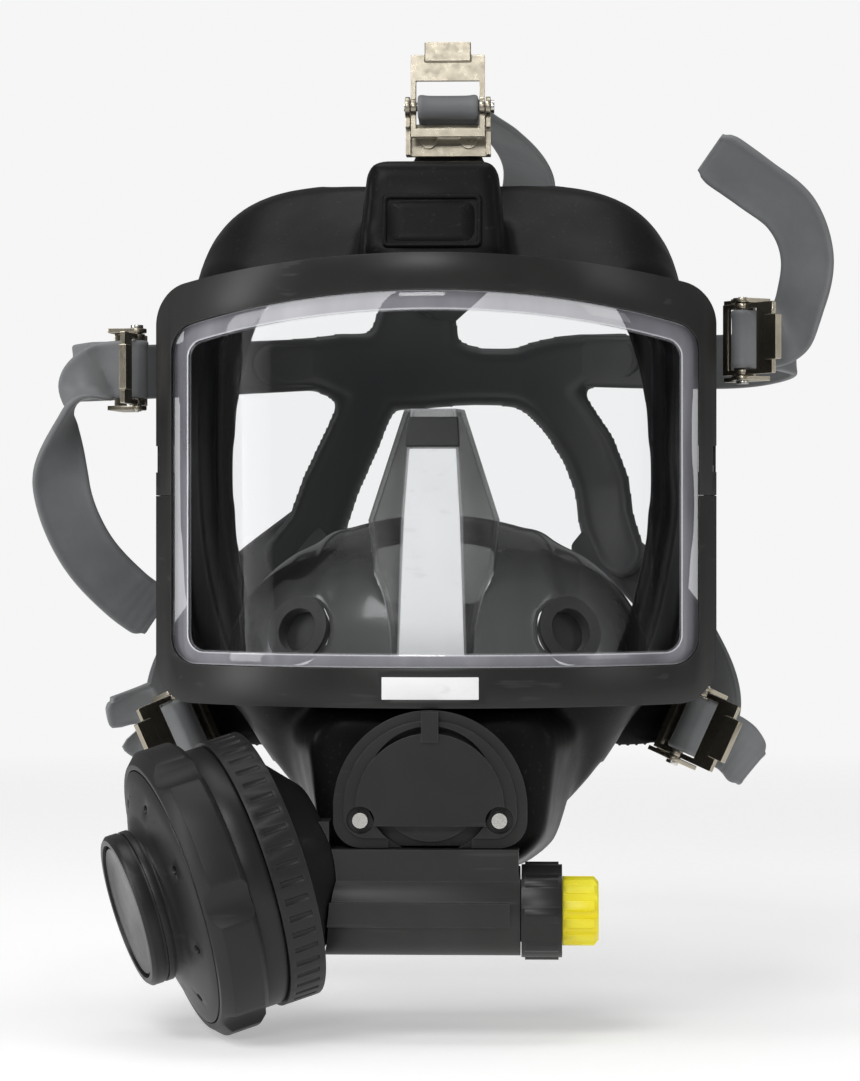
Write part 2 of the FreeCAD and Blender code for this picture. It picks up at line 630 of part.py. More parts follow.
def build_skirt():
    outer = dome(0).fuse(chin(0))
    outside = outer
    for piece in [forehead_block(), collar()] + [lug(name) for name in BUCKLES]:
        outside = outside.fuse(piece)
    outside = outside.cut(frame_clearance())
    bore_height = size("collar_height")
    bore = cylinder(size("collar_inner"), V(0, -size("far"), bore_height),
                    V(0, size("chin_back"), bore_height))
    wall = outside.cut(hollow(size("rubber_wall"))).cut(bore).cut(head_cylinder(size("head_radius")))
    opening = superellipse(-120, size("opening_half"), size("opening_top"),
                           size("opening_bottom"), 2.6, 1.8)
    prism = Part.Face(opening).extrude(V(0, size("far"), 0))
    lip = outer.common(head_cylinder(size("head_radius") + size("lip_thickness")))
    lip = lip.cut(head_cylinder(size("head_radius"))).cut(prism)
    skirt = wall.fuse(lip)
    biggest = max(skirt.Solids, key=lambda solid: solid.Volume)
    node(feature("face_skirt", biggest), "face_skirt")


# ---------------------------------------------------------------- inner mask

def nose_section(place, inset):
    """The nose piece's outline at one height: a flat face, two slanted sides and a back."""
    height = size("nose_%s" % place)
    half = max(size("nose_%s_half" % place) - inset * 0.6, 0.8)
    side = size("nose_%s_side" % place) - inset
    face = size("nose_%s_face" % place) + inset
    back = size("nose_back")
    shoulder = face + (back - face) * 0.62
    points = [(half, face), (side, shoulder), (side, back), (-side, back), (-side, shoulder),
              (-half, face)]
    corners = [V(x, y, height) for x, y in points]
    return Part.makePolygon(corners + [corners[0]])


def nose_prow(inset):
    return Part.makeLoft([nose_section(place, inset) for place in ("top", "mid", "low")], True, True)


def nose_face(height):
    """Depth and half width of the nose piece's flat face at a height."""
    high, low = ("top", "mid") if height > size("nose_mid") else ("mid", "low")
    share = (size("nose_" + high) - height) / (size("nose_" + high) - size("nose_" + low))
    depth = size("nose_%s_face" % high) * (1 - share) + size("nose_%s_face" % low) * share
    half = size("nose_%s_half" % high) * (1 - share) + size("nose_%s_half" % low) * share
    return depth, half


def cup(shrink):
    solid = Part.makeSphere(1)
    matrix = FreeCAD.Matrix()
    matrix.scale(size("cup_half") - shrink, size("cup_depth") - shrink, size("cup_height") - shrink)
    solid = solid.transformGeometry(matrix)
    solid.translate(V(0, size("cup_back"), size("cup_centre")))
    return solid


def check_placement(side):
    """Where a check valve sits on the inner mask: its Z axis points out of the mask."""
    x = side * size("check_across")
    z = size("check_height") - size("cup_centre")
    rest = 1 - (x / size("cup_half")) ** 2 - (z / size("cup_height")) ** 2
    y = -size("cup_depth") * math.sqrt(rest)
    normal = V(x / size("cup_half") ** 2, y / size("cup_depth") ** 2, z / size("cup_height") ** 2)
    place = V(x, y + size("cup_back"), size("check_height"))
    return FreeCAD.Placement(place, FreeCAD.Rotation(UP, normal))


def build_inner_mask():
    far = size("far")
    shell = cup(0).cut(cup(size("cup_wall")))
    shell = shell.cut(Part.makeBox(far, far, 2 * far, V(-far / 2, size("cup_back"), -far)))
    shell = shell.common(hollow(size("rubber_wall") + 0.3))
    bore_height = size("collar_height")
    shell = shell.cut(cylinder(size("spigot_radius") + size("pin_gap"), V(0, -far, bore_height),
                               V(0, 0, bore_height)))
    for side in (-1, 1):
        placement = check_placement(side)
        start = placement.multVec(V(0, 0, -12))
        end = placement.multVec(V(0, 0, 12))
        shell = shell.cut(cylinder(size("seat_radius") + size("pin_gap"), start, end))
    outer = nose_prow(0)
    prow = outer.cut(nose_prow(size("nose_wall")))
    below = Part.makeBox(far, far, far, V(-far / 2, -far / 2, size("nose_low") + 0.5 - far))
    prow = prow.cut(cup(-0.1)).cut(below)
    prow = max(prow.Solids, key=lambda solid: solid.Volume)
    shell = shell.cut(nose_prow(size("nose_wall")).common(
        Part.makeBox(far, far, far, V(-far / 2, -far / 2, -30))))
    shell = max(shell.Solids, key=lambda solid: solid.Volume)
    node(feature("inner_mask", shell), "inner_mask")
    node(feature("nose_bridge", prow), "nose_bridge")


def face_plate(name, top, low, margin, thickness):
    """A thin plate on the nose piece's flat face between two heights."""
    sections = []
    for height in (top, size("nose_mid"), low):
        if low < height < top or height in (top, low):
            depth, half = nose_face(height)
            half = half - margin
            back = depth - size("pin_gap") / 2
            corners = [V(half, back, height), V(half, back - thickness, height),
                       V(-half, back - thickness, height), V(-half, back, height)]
            sections.append(Part.makePolygon(corners + [corners[0]]))
    node(feature(name, Part.makeLoft(sections, True, True)), name)


def build_nose_trim():
    face_plate("nose_strip", size("strip_top"), size("strip_low"), 0.4, size("strip_thickness"))
    low = size("clip_low")
    face_plate("nose_clip", low + size("clip_height"), low, -0.8, 2 * size("strip_thickness"))


def build_check_valves():
    seats = []
    for side, word in ((-1, "left"), (1, "right")):
        seat = turned("check_seat_" + word, [
            ("seat_hole", "0 - seat_depth"), ("seat_radius", "0 - seat_depth"),
            ("seat_radius", "0.4"), ("seat_flange", "0.4"), ("seat_flange", "1.6"),
            ("seat_hole", "1.6")])
        seat.Placement = check_placement(side)
        seats.append(seat)
        flap = turned("check_flap_" + word, [
            ("0", "0 - seat_depth - pin_gap - flap_thickness"),
            ("flap_radius", "0 - seat_depth - pin_gap - flap_thickness"),
            ("flap_radius", "0 - seat_depth - pin_gap"), ("0", "0 - seat_depth - pin_gap")])
        flap.Placement = check_placement(side)
        node(flap, "check_flap_" + word)
    node(group("check_valve_seats", seats), "check_valve_seats")


# ---------------------------------------------------------------- chin port and exhaust valve

def clip_pin_rods(name, radius, start, end):
    return [rod("%s_%s" % (name, word), radius, start, end, "y", sign + "clip_pin_across",
                "clip_pin_height") for word, sign in (("left", "0 - "), ("right", ""))]


def build_port():
    flange = port_slab("port_flange", "0.4", "port_back", "port_front")
    spigot = rod("port_spigot", "spigot_radius", "port_front + 1", "spigot_end", "y", "0",
                 "collar_height")
    bore = rod("port_bore", "spigot_bore", "0 - far", "0", "y", "0", "collar_height")
    feed = rod("port_feed", "passage / 2", "port_bottom - 5", "collar_height - 5", "z", "0",
               "port_front / 2 + port_back / 2")
    body = cut("port_body", fuse("port_solid", flange, spigot), bore, feed,
               *clip_pin_rods("port_pin_hole", "clip_pin_radius / 2 + pin_gap", "port_front - 1",
                              "port_back + 1"))
    node(body, "port_body")
    seal = ring("port_seal", "spigot_radius + pin_gap", "collar_outer - pin_gap", "pin_gap / 2",
                "port_back * (0 - 1) + collar_front - pin_gap / 2")
    node(lay(seal, "y", "0", "port_back", "collar_height"), "port_seal")
    band = ring("port_band", "band_inner", "band_outer", "0", "chin_front - collar_front - pin_gap")
    node(lay(band, "y", "0", "collar_front", "collar_height"), "port_band")


def build_exhaust():
    back = "port_front - pin_gap"
    layers = [port_slab("cover_base", "0", back, "cover_front + 2 * cover_step"),
              port_slab("cover_middle", "3", back, "cover_front + cover_step"),
              port_slab("cover_face", "6.5", back, "cover_front")]
    tab = span_box("cover_tab", "0 - 2.5", "2.5", "cover_front - 0.8", back,
                   "port_centre + port_radius - 9", "port_centre + port_radius - 0.2")
    cavity = rod("cover_cavity_space", "cover_cavity", "cover_front + cover_step",
                 "port_front + 1", "y", "0", "collar_height")
    vent = span_box("cover_vent", "0 - 12", "12", "cover_front + cover_step + 1", "port_front - 1.2",
                    "port_bottom - 3", "collar_height")
    recesses = clip_pin_rods("cover_recess", "clip_pin_recess", "cover_front - 3",
                             "cover_front + 2 * cover_step")
    holes = clip_pin_rods("cover_pin_hole", "clip_pin_radius / 2 + pin_gap", "cover_front - 1",
                          "port_front + 1")
    node(cut("exhaust_cover", fuse("cover_solid", tab, *layers), cavity, vent, *recesses, *holes),
         "exhaust_cover")
    shanks = clip_pin_rods("clip_pin_shank", "clip_pin_radius / 2", "cover_front", "port_back - 1")
    heads = clip_pin_rods("clip_pin_head", "clip_pin_radius",
                          "cover_front - 1", "cover_front + 2 * cover_step - pin_gap / 2")
    pins = [fuse("cover_pin_" + word, shank, head)
            for word, shank, head in zip(("left", "right"), shanks, heads)]
    node(group("cover_pins", pins), "cover_pins")
    disc = turned("exhaust_disc", [
        ("0", "0"), ("disc_radius", "0"), ("disc_radius", "disc_thickness"),
        ("disc_radius - 2", "disc_thickness"), ("3", "disc_thickness + 0.5"),
        ("0", "disc_thickness + 0.5")])
    turn(disc, V(1, 0, 0), 90)
    node(at(disc, "0", "port_front - pin_gap", "collar_height"), "exhaust_disc")
    low = -size("port_front") + size("pin_gap") + size("disc_thickness") + 0.55
    high = -size("cover_front") - size("cover_step") - 0.05
    spring = feature("exhaust_spring", coil(4.6, 0.35, low, high, 2))
    spring.Placement = FreeCAD.Placement(V(0, 0, size("collar_height")),
                                         FreeCAD.Rotation(V(1, 0, 0), 90))
    node(spring, "exhaust_spring")


def coil(radius, wire, low, high, turns):
    """A round-wire compression spring along Z between two heights."""
    height = high - low - 2 * wire
    start = V(0, 0, low + wire)
    helix = Part.makeHelix(height / turns, height, radius)
    helix.translate(start)
    section = Part.Wire([Part.Circle(V(radius, 0, 0) + start, V(0, 1, 0), wire).toShape()])
    return Part.Wire(helix.Edges).makePipeShell([section], True, True)


# ---------------------------------------------------------------- inlet tube, nut and plug

def regulator_placement():
    axis = V(REGULATOR_AXIS).normalize()
    x_axis = UP.cross(axis).normalize()
    return FreeCAD.Placement(REGULATOR_CENTRE, FreeCAD.Rotation(x_axis, axis.cross(x_axis), axis, "ZXY"))


def on_regulator(item, local=FreeCAD.Placement()):
    item.Placement = regulator_placement().multiply(local)
    return item


def build_valve_body():
    tube = rod("tube", "tube_radius", "tube_left", "tube_right", "x", "tube_depth", "tube_height")
    link = span_box("link", "link_left", "link_right", "link_front", "link_back",
                    "tube_height", "link_top")
    saddle = span_box("saddle", "link_left - 8", "0 - 28", "tube_depth - 9", "tube_depth + 8",
                      "tube_height - 8", "link_top + 8")
    strip = span_box("tube_strip", "tube_left + 8", "tube_right - 3", "tube_depth - 14",
                     "tube_depth", "tube_height - 3.5", "tube_height + 3.5")
    spigot = rod("tube_spigot", "plug_stem", "tube_right - 1", "spigot_right", "x", "tube_depth",
                 "tube_height")
    lip = rod("tube_lip", "plug_stem + 0.8", "spigot_right - 1.7", "spigot_right - 0.1", "x",
              "tube_depth", "tube_height")
    envelope = on_regulator(turned("case_envelope", [
        ("0", "case_back - 0.1"), ("case_cone + 0.1", "case_back - 0.1"),
        ("case_radius + 0.1", "case_shoulder - 0.1"), ("clamp_radius + 1", "case_shoulder - 0.1"),
        ("ring_outer + 4", "0"), ("0", "0")]))
    bores = [
        rod("tube_passage", "passage", "passage_start", "tube_right", "x", "tube_depth",
            "tube_height"),
        rod("filter_bore", "filter_radius", "filter_start", "tube_right", "x", "tube_depth",
            "tube_height"),
        rod("hose_bore_hole", "hose_bore", "hose_bore_start", "far", "x", "tube_depth",
            "tube_height"),
        rod("seal_bore", "hose_bore + 1.5", "hose_bore_end", "far", "x", "tube_depth",
            "tube_height"),
        rod("riser", "passage - 1", "tube_height", "link_top + 3", "z", "0", "tube_depth"),
    ]
    trim = span_box("port_clearance", "0 - far", "far", "0 - far", "far", "link_top", "far")
    left_of_port = span_box("saddle_area", "0 - far", "0 - 29", "0 - far", "far", "link_top", "far")
    keep = cut("port_trim", trim, left_of_port)
    chin_room = span_box("chin_room", "0 - 38", "38", "link_back", "far", "tube_height + 9.5", "far")
    node(cut("valve_body", fuse("valve_solid", tube, link, saddle, strip, spigot, lip),
             envelope, keep, chin_room, *bores), "valve_body")


def build_inlet():
    def along(item, start):
        return lay(item, "x", start, "tube_depth", "tube_height")
    rim = "spigot_right - nut_start"
    nut = turned("nut_blank", [
        ("nut_bore", "0"), ("nut_radius - 1", "0"), ("nut_radius - 1", "nut_end - nut_start"),
        ("nut_bore", "nut_end - nut_start"), ("nut_bore", rim + " + 0.4"),
        ("nut_bore + 0.9", rim + " + 0.4"), ("nut_bore + 0.9", rim + " - 2.1"),
        ("nut_bore", rim + " - 2.1")])
    along(nut, "nut_start")
    lugs = []
    for i in range(int(size("nut_lugs"))):
        angle = 2 * math.pi * i / size("nut_lugs")
        lugs.append(rod("nut_lug_%d" % i, "nut_radius / 4.5", "nut_start + 1", "nut_end - 1", "x",
                        "tube_depth + (nut_radius - 3.4) * %.6f" % math.cos(angle),
                        "tube_height + (nut_radius - 3.4) * %.6f" % math.sin(angle)))
    core = rod("nut_core", "nut_radius - 1.6", "0 - far", "far", "x", "tube_depth", "tube_height")
    outer_lugs = cut("nut_outer_lugs", fuse("nut_lug_set", *lugs), core)
    node(fuse("inlet_nut", nut, outer_lugs), "inlet_nut")
    cap = turned("plug_cap", [
        ("0", "0"), ("plug_stem", "0"), ("plug_stem", "nut_end - spigot_right - 0.6"),
        ("plug_radius", "nut_end - spigot_right - 0.6"),
        ("plug_radius", "plug_end - spigot_right - 2"),
        ("plug_radius - 1.5", "plug_end - spigot_right - 0.7"), ("0", "plug_end - spigot_right - 0.7")])
    along(cap, "spigot_right + 0.7")
    flutes = []
    for i in range(int(size("plug_flutes"))):
        angle = 2 * math.pi * i / size("plug_flutes")
        flutes.append(rod("plug_flute_%d" % i, "1.3", "nut_end + 0.6", "plug_end + 1", "x",
                          "tube_depth + (plug_radius + 0.3) * %.6f" % math.cos(angle),
                          "tube_height + (plug_radius + 0.3) * %.6f" % math.sin(angle)))
    node(cut("dust_plug", cap, *flutes), "dust_plug")
    seal = ring("inlet_seal", "hose_bore + 0.5", "hose_bore + 1.45", "0.1",
                "spigot_right - hose_bore_end - 0.1")
    node(along(seal, "hose_bore_end"), "inlet_seal")
    sieve = ring("inlet_filter", "0.6", "filter_radius - 0.05", "0.05",
                 "hose_bore_start - filter_start - 0.1")
    node(along(sieve, "filter_start"), "inlet_filter")


# ---------------------------------------------------------------- regulator

def notched(name, body, count, cutter_radius, reach, low, high):
    """Cut evenly spaced scallops into a ring about its own Z axis."""
    tools = []
    for i in range(count):
        angle = 2 * math.pi * i / count
        tools.append(rod("%s_scallop_%d" % (name, i), cutter_radius, low, high, "z",
                         "(%s) * %.6f" % (reach, math.cos(angle)),
                         "(%s) * %.6f" % (reach, math.sin(angle))))
    return cut(name, body, *tools)


def build_regulator_case():
    case = turned("case_blank", [
        ("passage", "case_back"), ("case_cone", "case_back"),
        ("case_radius - 1.5", "case_shoulder"), ("case_radius", "case_shoulder"),
        ("case_radius", "neck_low"), ("neck_radius", "neck_low"), ("neck_radius", "neck_high"),
        ("rim_radius", "neck_high"), ("rim_radius", "rim_height"), ("ledge_radius", "rim_height"),
        ("ledge_radius", "ledge_height"), ("case_inner", "ledge_height"),
        ("case_inner", "case_floor"), ("case_cone - 2", "case_back + 4"),
        ("passage", "case_back + 4")])
    node(on_regulator(case), "regulator_case")
    clamp = ring("clamp_blank", "case_radius + pin_gap", "clamp_radius", "case_shoulder + pin_gap",
                 "neck_low - pin_gap")
    node(on_regulator(notched("clamp_ring", clamp, int(size("clamp_teeth")), "1.1",
                              "clamp_radius + 0.5", "case_shoulder + 2", "neck_low - 2")),
         "clamp_ring")
    lobed = turned("mode_blank", [
        ("ring_inner", "neck_high + seat_gap"), ("ring_outer - 1.5", "neck_high + seat_gap"),
        ("ring_outer", "neck_high + 2"), ("ring_outer", "ring_height - 3"),
        ("ring_outer - 3", "ring_height"), ("shoulder_radius + 0.3", "ring_height"),
        ("shoulder_radius + 0.3", "rim_height"), ("ring_inner", "rim_height")])
    node(on_regulator(notched("mode_ring", lobed, int(size("ring_lobes")), "9",
                              "ring_outer + 6.5", "neck_high", "ring_height + 1")), "mode_ring")


def build_front_cover():
    cover = turned("cover_blank", [
        ("hub_inner", "hub_height"), ("hub_radius - 1", "hub_height"),
        ("hub_radius", "hub_height - 1"), ("hub_radius", "hub_height - 4"),
        ("hub_radius - 0.8", "hub_height - 4"), ("hub_radius - 0.8", "hub_height - 5"),
        ("hub_radius", "hub_height - 5"), ("hub_radius", "hub_height - 7"),
        ("hub_radius - 0.8", "hub_height - 7"), ("hub_radius - 0.8", "hub_height - 8"),
        ("hub_radius", "hub_base"), ("shoulder_radius", "shoulder_height"),
        ("shoulder_radius", "rim_height + 0.1"), ("ledge_radius - 1", "rim_height + 0.1"),
        ("hub_radius", "hub_base - 3"), ("button_stem + 0.2", "hub_base - 3"),
        ("button_stem + 0.2", "hub_base + 1"), ("hub_inner", "hub_base + 1")])
    vents = []
    for i in range(8):
        angle = 2 * math.pi * (i + 0.5) / 8
        vents.append(rod("cover_vent_%d" % i, "1.3", "0", "hub_height", "z",
                         "(hub_radius + 8) * %.6f" % math.cos(angle),
                         "(hub_radius + 8) * %.6f" % math.sin(angle)))
    node(on_regulator(cut("front_cover", cover, *vents)), "front_cover")
    button = turned("purge_button", [
        ("0", "plate_base + plate_thickness + 0.1"),
        ("button_stem", "plate_base + plate_thickness + 0.1"), ("button_stem", "button_skirt"),
        ("button_radius", "button_skirt"), ("button_radius", "button_top - 1"),
        ("button_radius - 1", "button_top"), ("button_radius - 6", "button_top - 0.6"),
        ("0", "button_top - 0.6")])
    node(on_regulator(button), "purge_button")
    spring = coil(size("spring_radius"), size("spring_wire"), size("spring_low"),
                  size("button_skirt") - 0.05, 3)
    item = feature("button_spring", spring)
    node(on_regulator(item), "button_spring")


def build_demand_valve():
    membrane = ring("diaphragm", "plate_radius + seat_gap", "ledge_radius - pin_gap",
                    "ledge_height + 0.05", "ledge_height + 1.1")
    node(on_regulator(membrane), "diaphragm")
    plate = ring("diaphragm_plate", "0.8", "plate_radius", "plate_base",
                 "plate_base + plate_thickness")
    node(on_regulator(plate), "diaphragm_plate")
    arm = span_box("lever_arm", "0 - 2", "lever_pivot", "0 - lever_width / 2", "lever_width / 2",
                   "lever_height - 0.5", "lever_height + 0.5")
    knob = doc.addObject("Part::Sphere", "lever_knob")
    bind(knob, Radius="2")
    at(knob, "0", "0", "plate_base - pin_gap - 2")
    post = rod("lever_post", "1.4", "lever_height - 0.5", "plate_base - 2", "z")
    eye = rod("lever_eye", "2", "0 - lever_width / 2", "lever_width / 2", "y", "lever_pivot",
              "lever_height")
    fork = span_box("lever_fork", "lever_pivot - 0.5", "lever_pivot + 0.5", "0 - lever_width / 2",
                    "lever_width / 2", "poppet_height - 2.4", "lever_height")
    eye_hole = rod("lever_eye_hole", "1.05", "0 - 9", "9", "y", "lever_pivot", "lever_height")
    slot = span_box("lever_slot", "lever_pivot - 2", "lever_pivot + 2", "0 - 1.6", "1.6",
                    "poppet_height - 3", "poppet_height + 2")
    node(on_regulator(cut("demand_lever", fuse("lever_solid", arm, knob, post, eye, fork),
                          eye_hole, slot)), "demand_lever")
    pin = rod("lever_pin_shank", "1", "0 - 5.6", "5", "y", "lever_pivot", "lever_height")
    pin_head = rod("lever_pin_head", "1.6", "4.7", "5.6", "y", "lever_pivot", "lever_height")
    node(on_regulator(fuse("lever_pin", pin, pin_head)), "lever_pin")
    head = rod("poppet_head", "3.4", "4.1", "6", "x", "0", "poppet_height")
    stem = rod("poppet_stem", "1.2", "5", "24", "x", "0", "poppet_height")
    stop = rod("poppet_stop", "2.4", "21.4", "22.6", "x", "0", "poppet_height")
    node(on_regulator(fuse("poppet", head, stem, stop)), "poppet")
    barrel = rod("nozzle_barrel", "4.4", "0 - 14", "4", "x", "0", "poppet_height")
    bore = rod("nozzle_bore", "2.2", "0 - 15", "5", "x", "0", "poppet_height")
    foot = span_box("nozzle_foot", "0 - 14", "24", "0 - 5.5", "5.5", "foot_low", "foot_high")
    outlet = rod("nozzle_outlet", "passage + 3", "case_back + 4.05", "foot_high")
    outlet_bore = rod("nozzle_outlet_bore", "passage", "case_back", "foot_high + 0.5")
    pedestal = span_box("nozzle_pedestal", "0 - 14", "0 - 6", "0 - 3", "3", "foot_low",
                        "poppet_height - 3")
    guide = span_box("poppet_guide", "12", "14", "0 - 3.4", "3.4", "foot_low",
                     "poppet_height + 3")
    guide_hole = rod("guide_hole", "1.3", "11", "15", "x", "0", "poppet_height")
    ears = [span_box("pin_ear_" + word, "lever_pivot - 2.5", "lever_pivot + 2.5", low, high,
                     "foot_low", "lever_height + 2.5")
            for word, low, high in (("left", "0 - 4.6", "0 - 2.8"), ("right", "2.8", "4.6"))]
    ear_hole = rod("ear_hole", "1.02", "0 - 9", "9", "y", "lever_pivot", "lever_height")
    node(on_regulator(cut("valve_nozzle", fuse("nozzle_solid", barrel, foot, outlet, pedestal, guide,
                                               *ears),
                          bore, outlet_bore, guide_hole, ear_hole)), "valve_nozzle")
    sideways = FreeCAD.Placement(V(0, 0, size("poppet_height")), FreeCAD.Rotation(V(0, 1, 0), 90))
    spring = feature("poppet_spring", coil(2.4, 0.4, 6.1, 11.9, 3))
    node(on_regulator(spring, sideways), "poppet_spring")


# ---------------------------------------------------------------- buckles, straps and harness

def buckle_base(name):
    far_side = "base_near + base_sheet"
    plate = span_box(name + "_plate", "0 - ear_gap - ear_sheet", "ear_gap + ear_sheet",
                     "base_near", far_side, "base_low", "base_high")
    pieces = [plate]
    for word, low, high in (("left", "0 - ear_gap - ear_sheet", "0 - ear_gap"),
                            ("right", "ear_gap", "ear_gap + ear_sheet")):
        pieces.append(span_box("%s_ear_%s" % (name, word), low, high, "0", far_side,
                               "0 - ear_radius * 2", "ear_radius"))
        pieces.append(span_box("%s_heel_%s" % (name, word), low, high, "base_near - 4", far_side,
                               "base_low", "0"))
        pieces.append(rod("%s_eye_%s" % (name, word), "ear_radius", low, high, "x"))
    holes = [rod(name + "_pin_hole", "buckle_pin + 0.05", "0 - 20", "20", "x")]
    for word, sign in (("left", "0 - "), ("right", "")):
        holes.append(rod("%s_rivet_hole_%s" % (name, word), "rivet_radius + pin_gap / 2", "0", "20",
                         "y", sign + "rivet_across", "rivet_height"))
    item = cut(name + "_base", fuse(name + "_base_solid", *pieces), *holes)
    item.Placement = buckle_placement(name)
    return item


def buckle_frame(name):
    outer = span_box(name + "_sheet", "0 - buckle_half", "buckle_half", "0 - buckle_sheet / 2",
                     "buckle_sheet / 2", "0 - buckle_foot_low", "buckle_top")
    window = span_box(name + "_window", "0 - buckle_half + buckle_rail",
                      "buckle_half - buckle_rail", "0 - 5", "5", "0 - buckle_foot", "buckle_bar")
    bosses = [rod("%s_boss_%s" % (name, word), "2.5", low, high, "x")
              for word, low, high in (
                  ("left", "0 - buckle_half", "0 - buckle_half + buckle_rail"),
                  ("right", "buckle_half - buckle_rail", "buckle_half"))]
    tongue = span_box(name + "_tongue", "0 - buckle_half / 1.6", "buckle_half / 1.6",
                      "0 - buckle_sheet * 1.5", "0", "buckle_top - 2", "tongue_top")
    hole = rod(name + "_frame_hole", "buckle_pin + 0.05", "0 - 20", "20", "x")
    item = cut(name + "_frame", fuse(name + "_frame_solid", cut(name + "_open", outer, window),
                                     tongue, *bosses), hole)
    item.Placement = buckle_placement(name)
    return item


def buckle_rivet(name, word, sign):
    start = "base_near - 0.9"
    shank = rod("%s_rivet_%s" % (name, word), "rivet_radius", start,
                "base_near + base_sheet + tab_thickness + 1", "y", sign + "rivet_across",
                "rivet_height")
    head = rod("%s_rivet_head_%s" % (name, word), "rivet_radius * 1.7", start,
               "base_near - 0.05", "y", sign + "rivet_across", "rivet_height")
    item = fuse("%s_whole_rivet_%s" % (name, word), shank, head)
    item.Placement = buckle_placement(name)
    return item


def build_buckles():
    bases = []
    pins = []
    rivets = []
    for name in BUCKLES:
        bases.append(buckle_base(name))
        pin = rod(name + "_pin", "buckle_pin", "0 - pin_half", "pin_half", "x")
        carrier = fuse(name + "_pin_body", pin, rod(name + "_pin_head", "buckle_pin * 1.5",
                                                    "pin_half - 0.2", "pin_half + 0.8", "x"))
        carrier.Placement = buckle_placement(name)
        pins.append(carrier)
        rivets += [buckle_rivet(name, "left", "0 - "), buckle_rivet(name, "right", "")]
        node(buckle_frame(name), "buckle_frame_" + name)
    node(group("buckle_bases", bases), "buckle_bases")
    node(group("buckle_pins", pins), "buckle_pins")
    node(group("lug_rivets", rivets), "lug_rivets")


def ribbon(stations):
    """A flat strap through (place, width direction) stations, with straight-ruled sides."""
    width = size("strap_width")
    thickness = size("strap_thickness")
    sections = []
    for i, (place, across) in enumerate(stations):
        before = stations[max(i - 1, 0)][0]
        after = stations[min(i + 1, len(stations) - 1)][0]
        along = (after - before).normalize()
        normal = along.cross(across).normalize()
        side = normal.cross(along).normalize()
        sections.append(rectangle(place, side, normal, width, thickness))
    return Part.makeLoft(sections, True, True)


def eased(stations, parts):
    """More stations between the given ones, on a smooth curve through their places."""
    curve = Part.BSplineCurve()
    curve.interpolate([place for place, _ in stations])
    marks = [curve.parameter(place) for place, _ in stations]
    result = []
    for i in range(len(stations) - 1):
        for j in range(parts):
            share = j / parts
            place = curve.value(marks[i] * (1 - share) + marks[i + 1] * share)
            across = stations[i][1] * (1 - share) + stations[i + 1][1] * share
            result.append((place, across.normalize()))
    result.append(stations[-1])
    return result


def strap_stations(name):
    """Harness end, round the buckle's pin, out to the loose end."""
    placement = buckle_placement(name)
    across = placement.Rotation.multVec(V(1, 0, 0))
    radius = size("fold_radius")
    fold = []
    for step in range(9):
        angle = math.radians(-90 + 22.5 * step)
        place = V(0, -radius * math.cos(angle), radius * math.sin(angle))
        fold.append((placement.multVec(place), across))
    lead_in = (placement.multVec(V(0, size("lead_in"), -radius)), across)
    lead_out = (placement.multVec(V(0, size("lead_out"), radius)), across)
    run = [lead_in] + HARNESS_RUNS[name]
    tail = [lead_out] + TAILS[name]
    if name == "top":
        run[0], tail[0] = (placement.multVec(V(0, 6, radius)), across), (
            placement.multVec(V(0, 6, -radius)), across)
        fold.reverse()
    return list(reversed(eased(run, 3))) + fold + eased(tail, 3)


def build_harness():
    arms = []
    for i, (x, z, angle, length, width) in enumerate(HARNESS_ARMS):
        arm = Part.makeBox(length, size("far"), width, V(0, 0, -width / 2))
        arm.Placement = FreeCAD.Placement(V(x, 0, z), FreeCAD.Rotation(V(0, 1, 0), -angle))
        arms.append(arm)
    low = size("harness_band_low")
    half = size("harness_band_half")
    blank = Part.makeBox(2 * half, size("far"), size("harness_band_high") - low, V(-half, 0, low))
    for arm in arms:
        blank = blank.fuse(arm)
    height = size("far")
    centre = V(0, size("harness_centre"), -height / 2)
    shell = Part.makeCylinder(size("harness_outer"), height, centre).cut(
        Part.makeCylinder(size("harness_inner"), height, centre))
    plate = blank.common(shell)
    plate = max(plate.Solids, key=lambda solid: solid.Volume)
    node(feature("harness_plate", plate), "harness_plate")
    for name in BUCKLES:
        strap = ribbon(strap_stations(name)).cut(plate)
        strap = max(strap.Solids, key=lambda solid: solid.Volume)
        node(feature("strap_" + name, strap), "strap_" + name)


# ---------------------------------------------------------------- build, check and write

def check_document():
    doc.recompute()
    failed = [item.Name for item in doc.Objects
              if "Invalid" in item.State or "Error" in item.State]
    if failed:
        raise RuntimeError("failed objects: " + ", ".join(failed))
    for item in nodes:
        if item.Shape.isNull() or not item.Shape.isValid() or not item.Shape.Solids:
            raise RuntimeError("bad shape: " + item.Label)


build_visor()
build_frame()
build_frame_screws()
build_skirt()
build_inner_mask()
build_nose_trim()
build_check_valves()
build_port()
build_exhaust()
build_valve_body()
build_inlet()
build_regulator_case()
build_front_cover()
build_demand_valve()
build_buckles()
build_harness()
check_document()

os.makedirs("parts", exist_ok=True)
for item in nodes:
    item.Shape.exportStep("parts/%s.step" % item.Label)
    print("%-24s solids %d volume %9.0f" % (item.Label, len(item.Shape.Solids), item.Shape.Volume))
print(len(nodes), "nodes")
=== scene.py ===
import json
import math

import bmesh
import bpy
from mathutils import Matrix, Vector
from mathutils.kdtree import KDTree


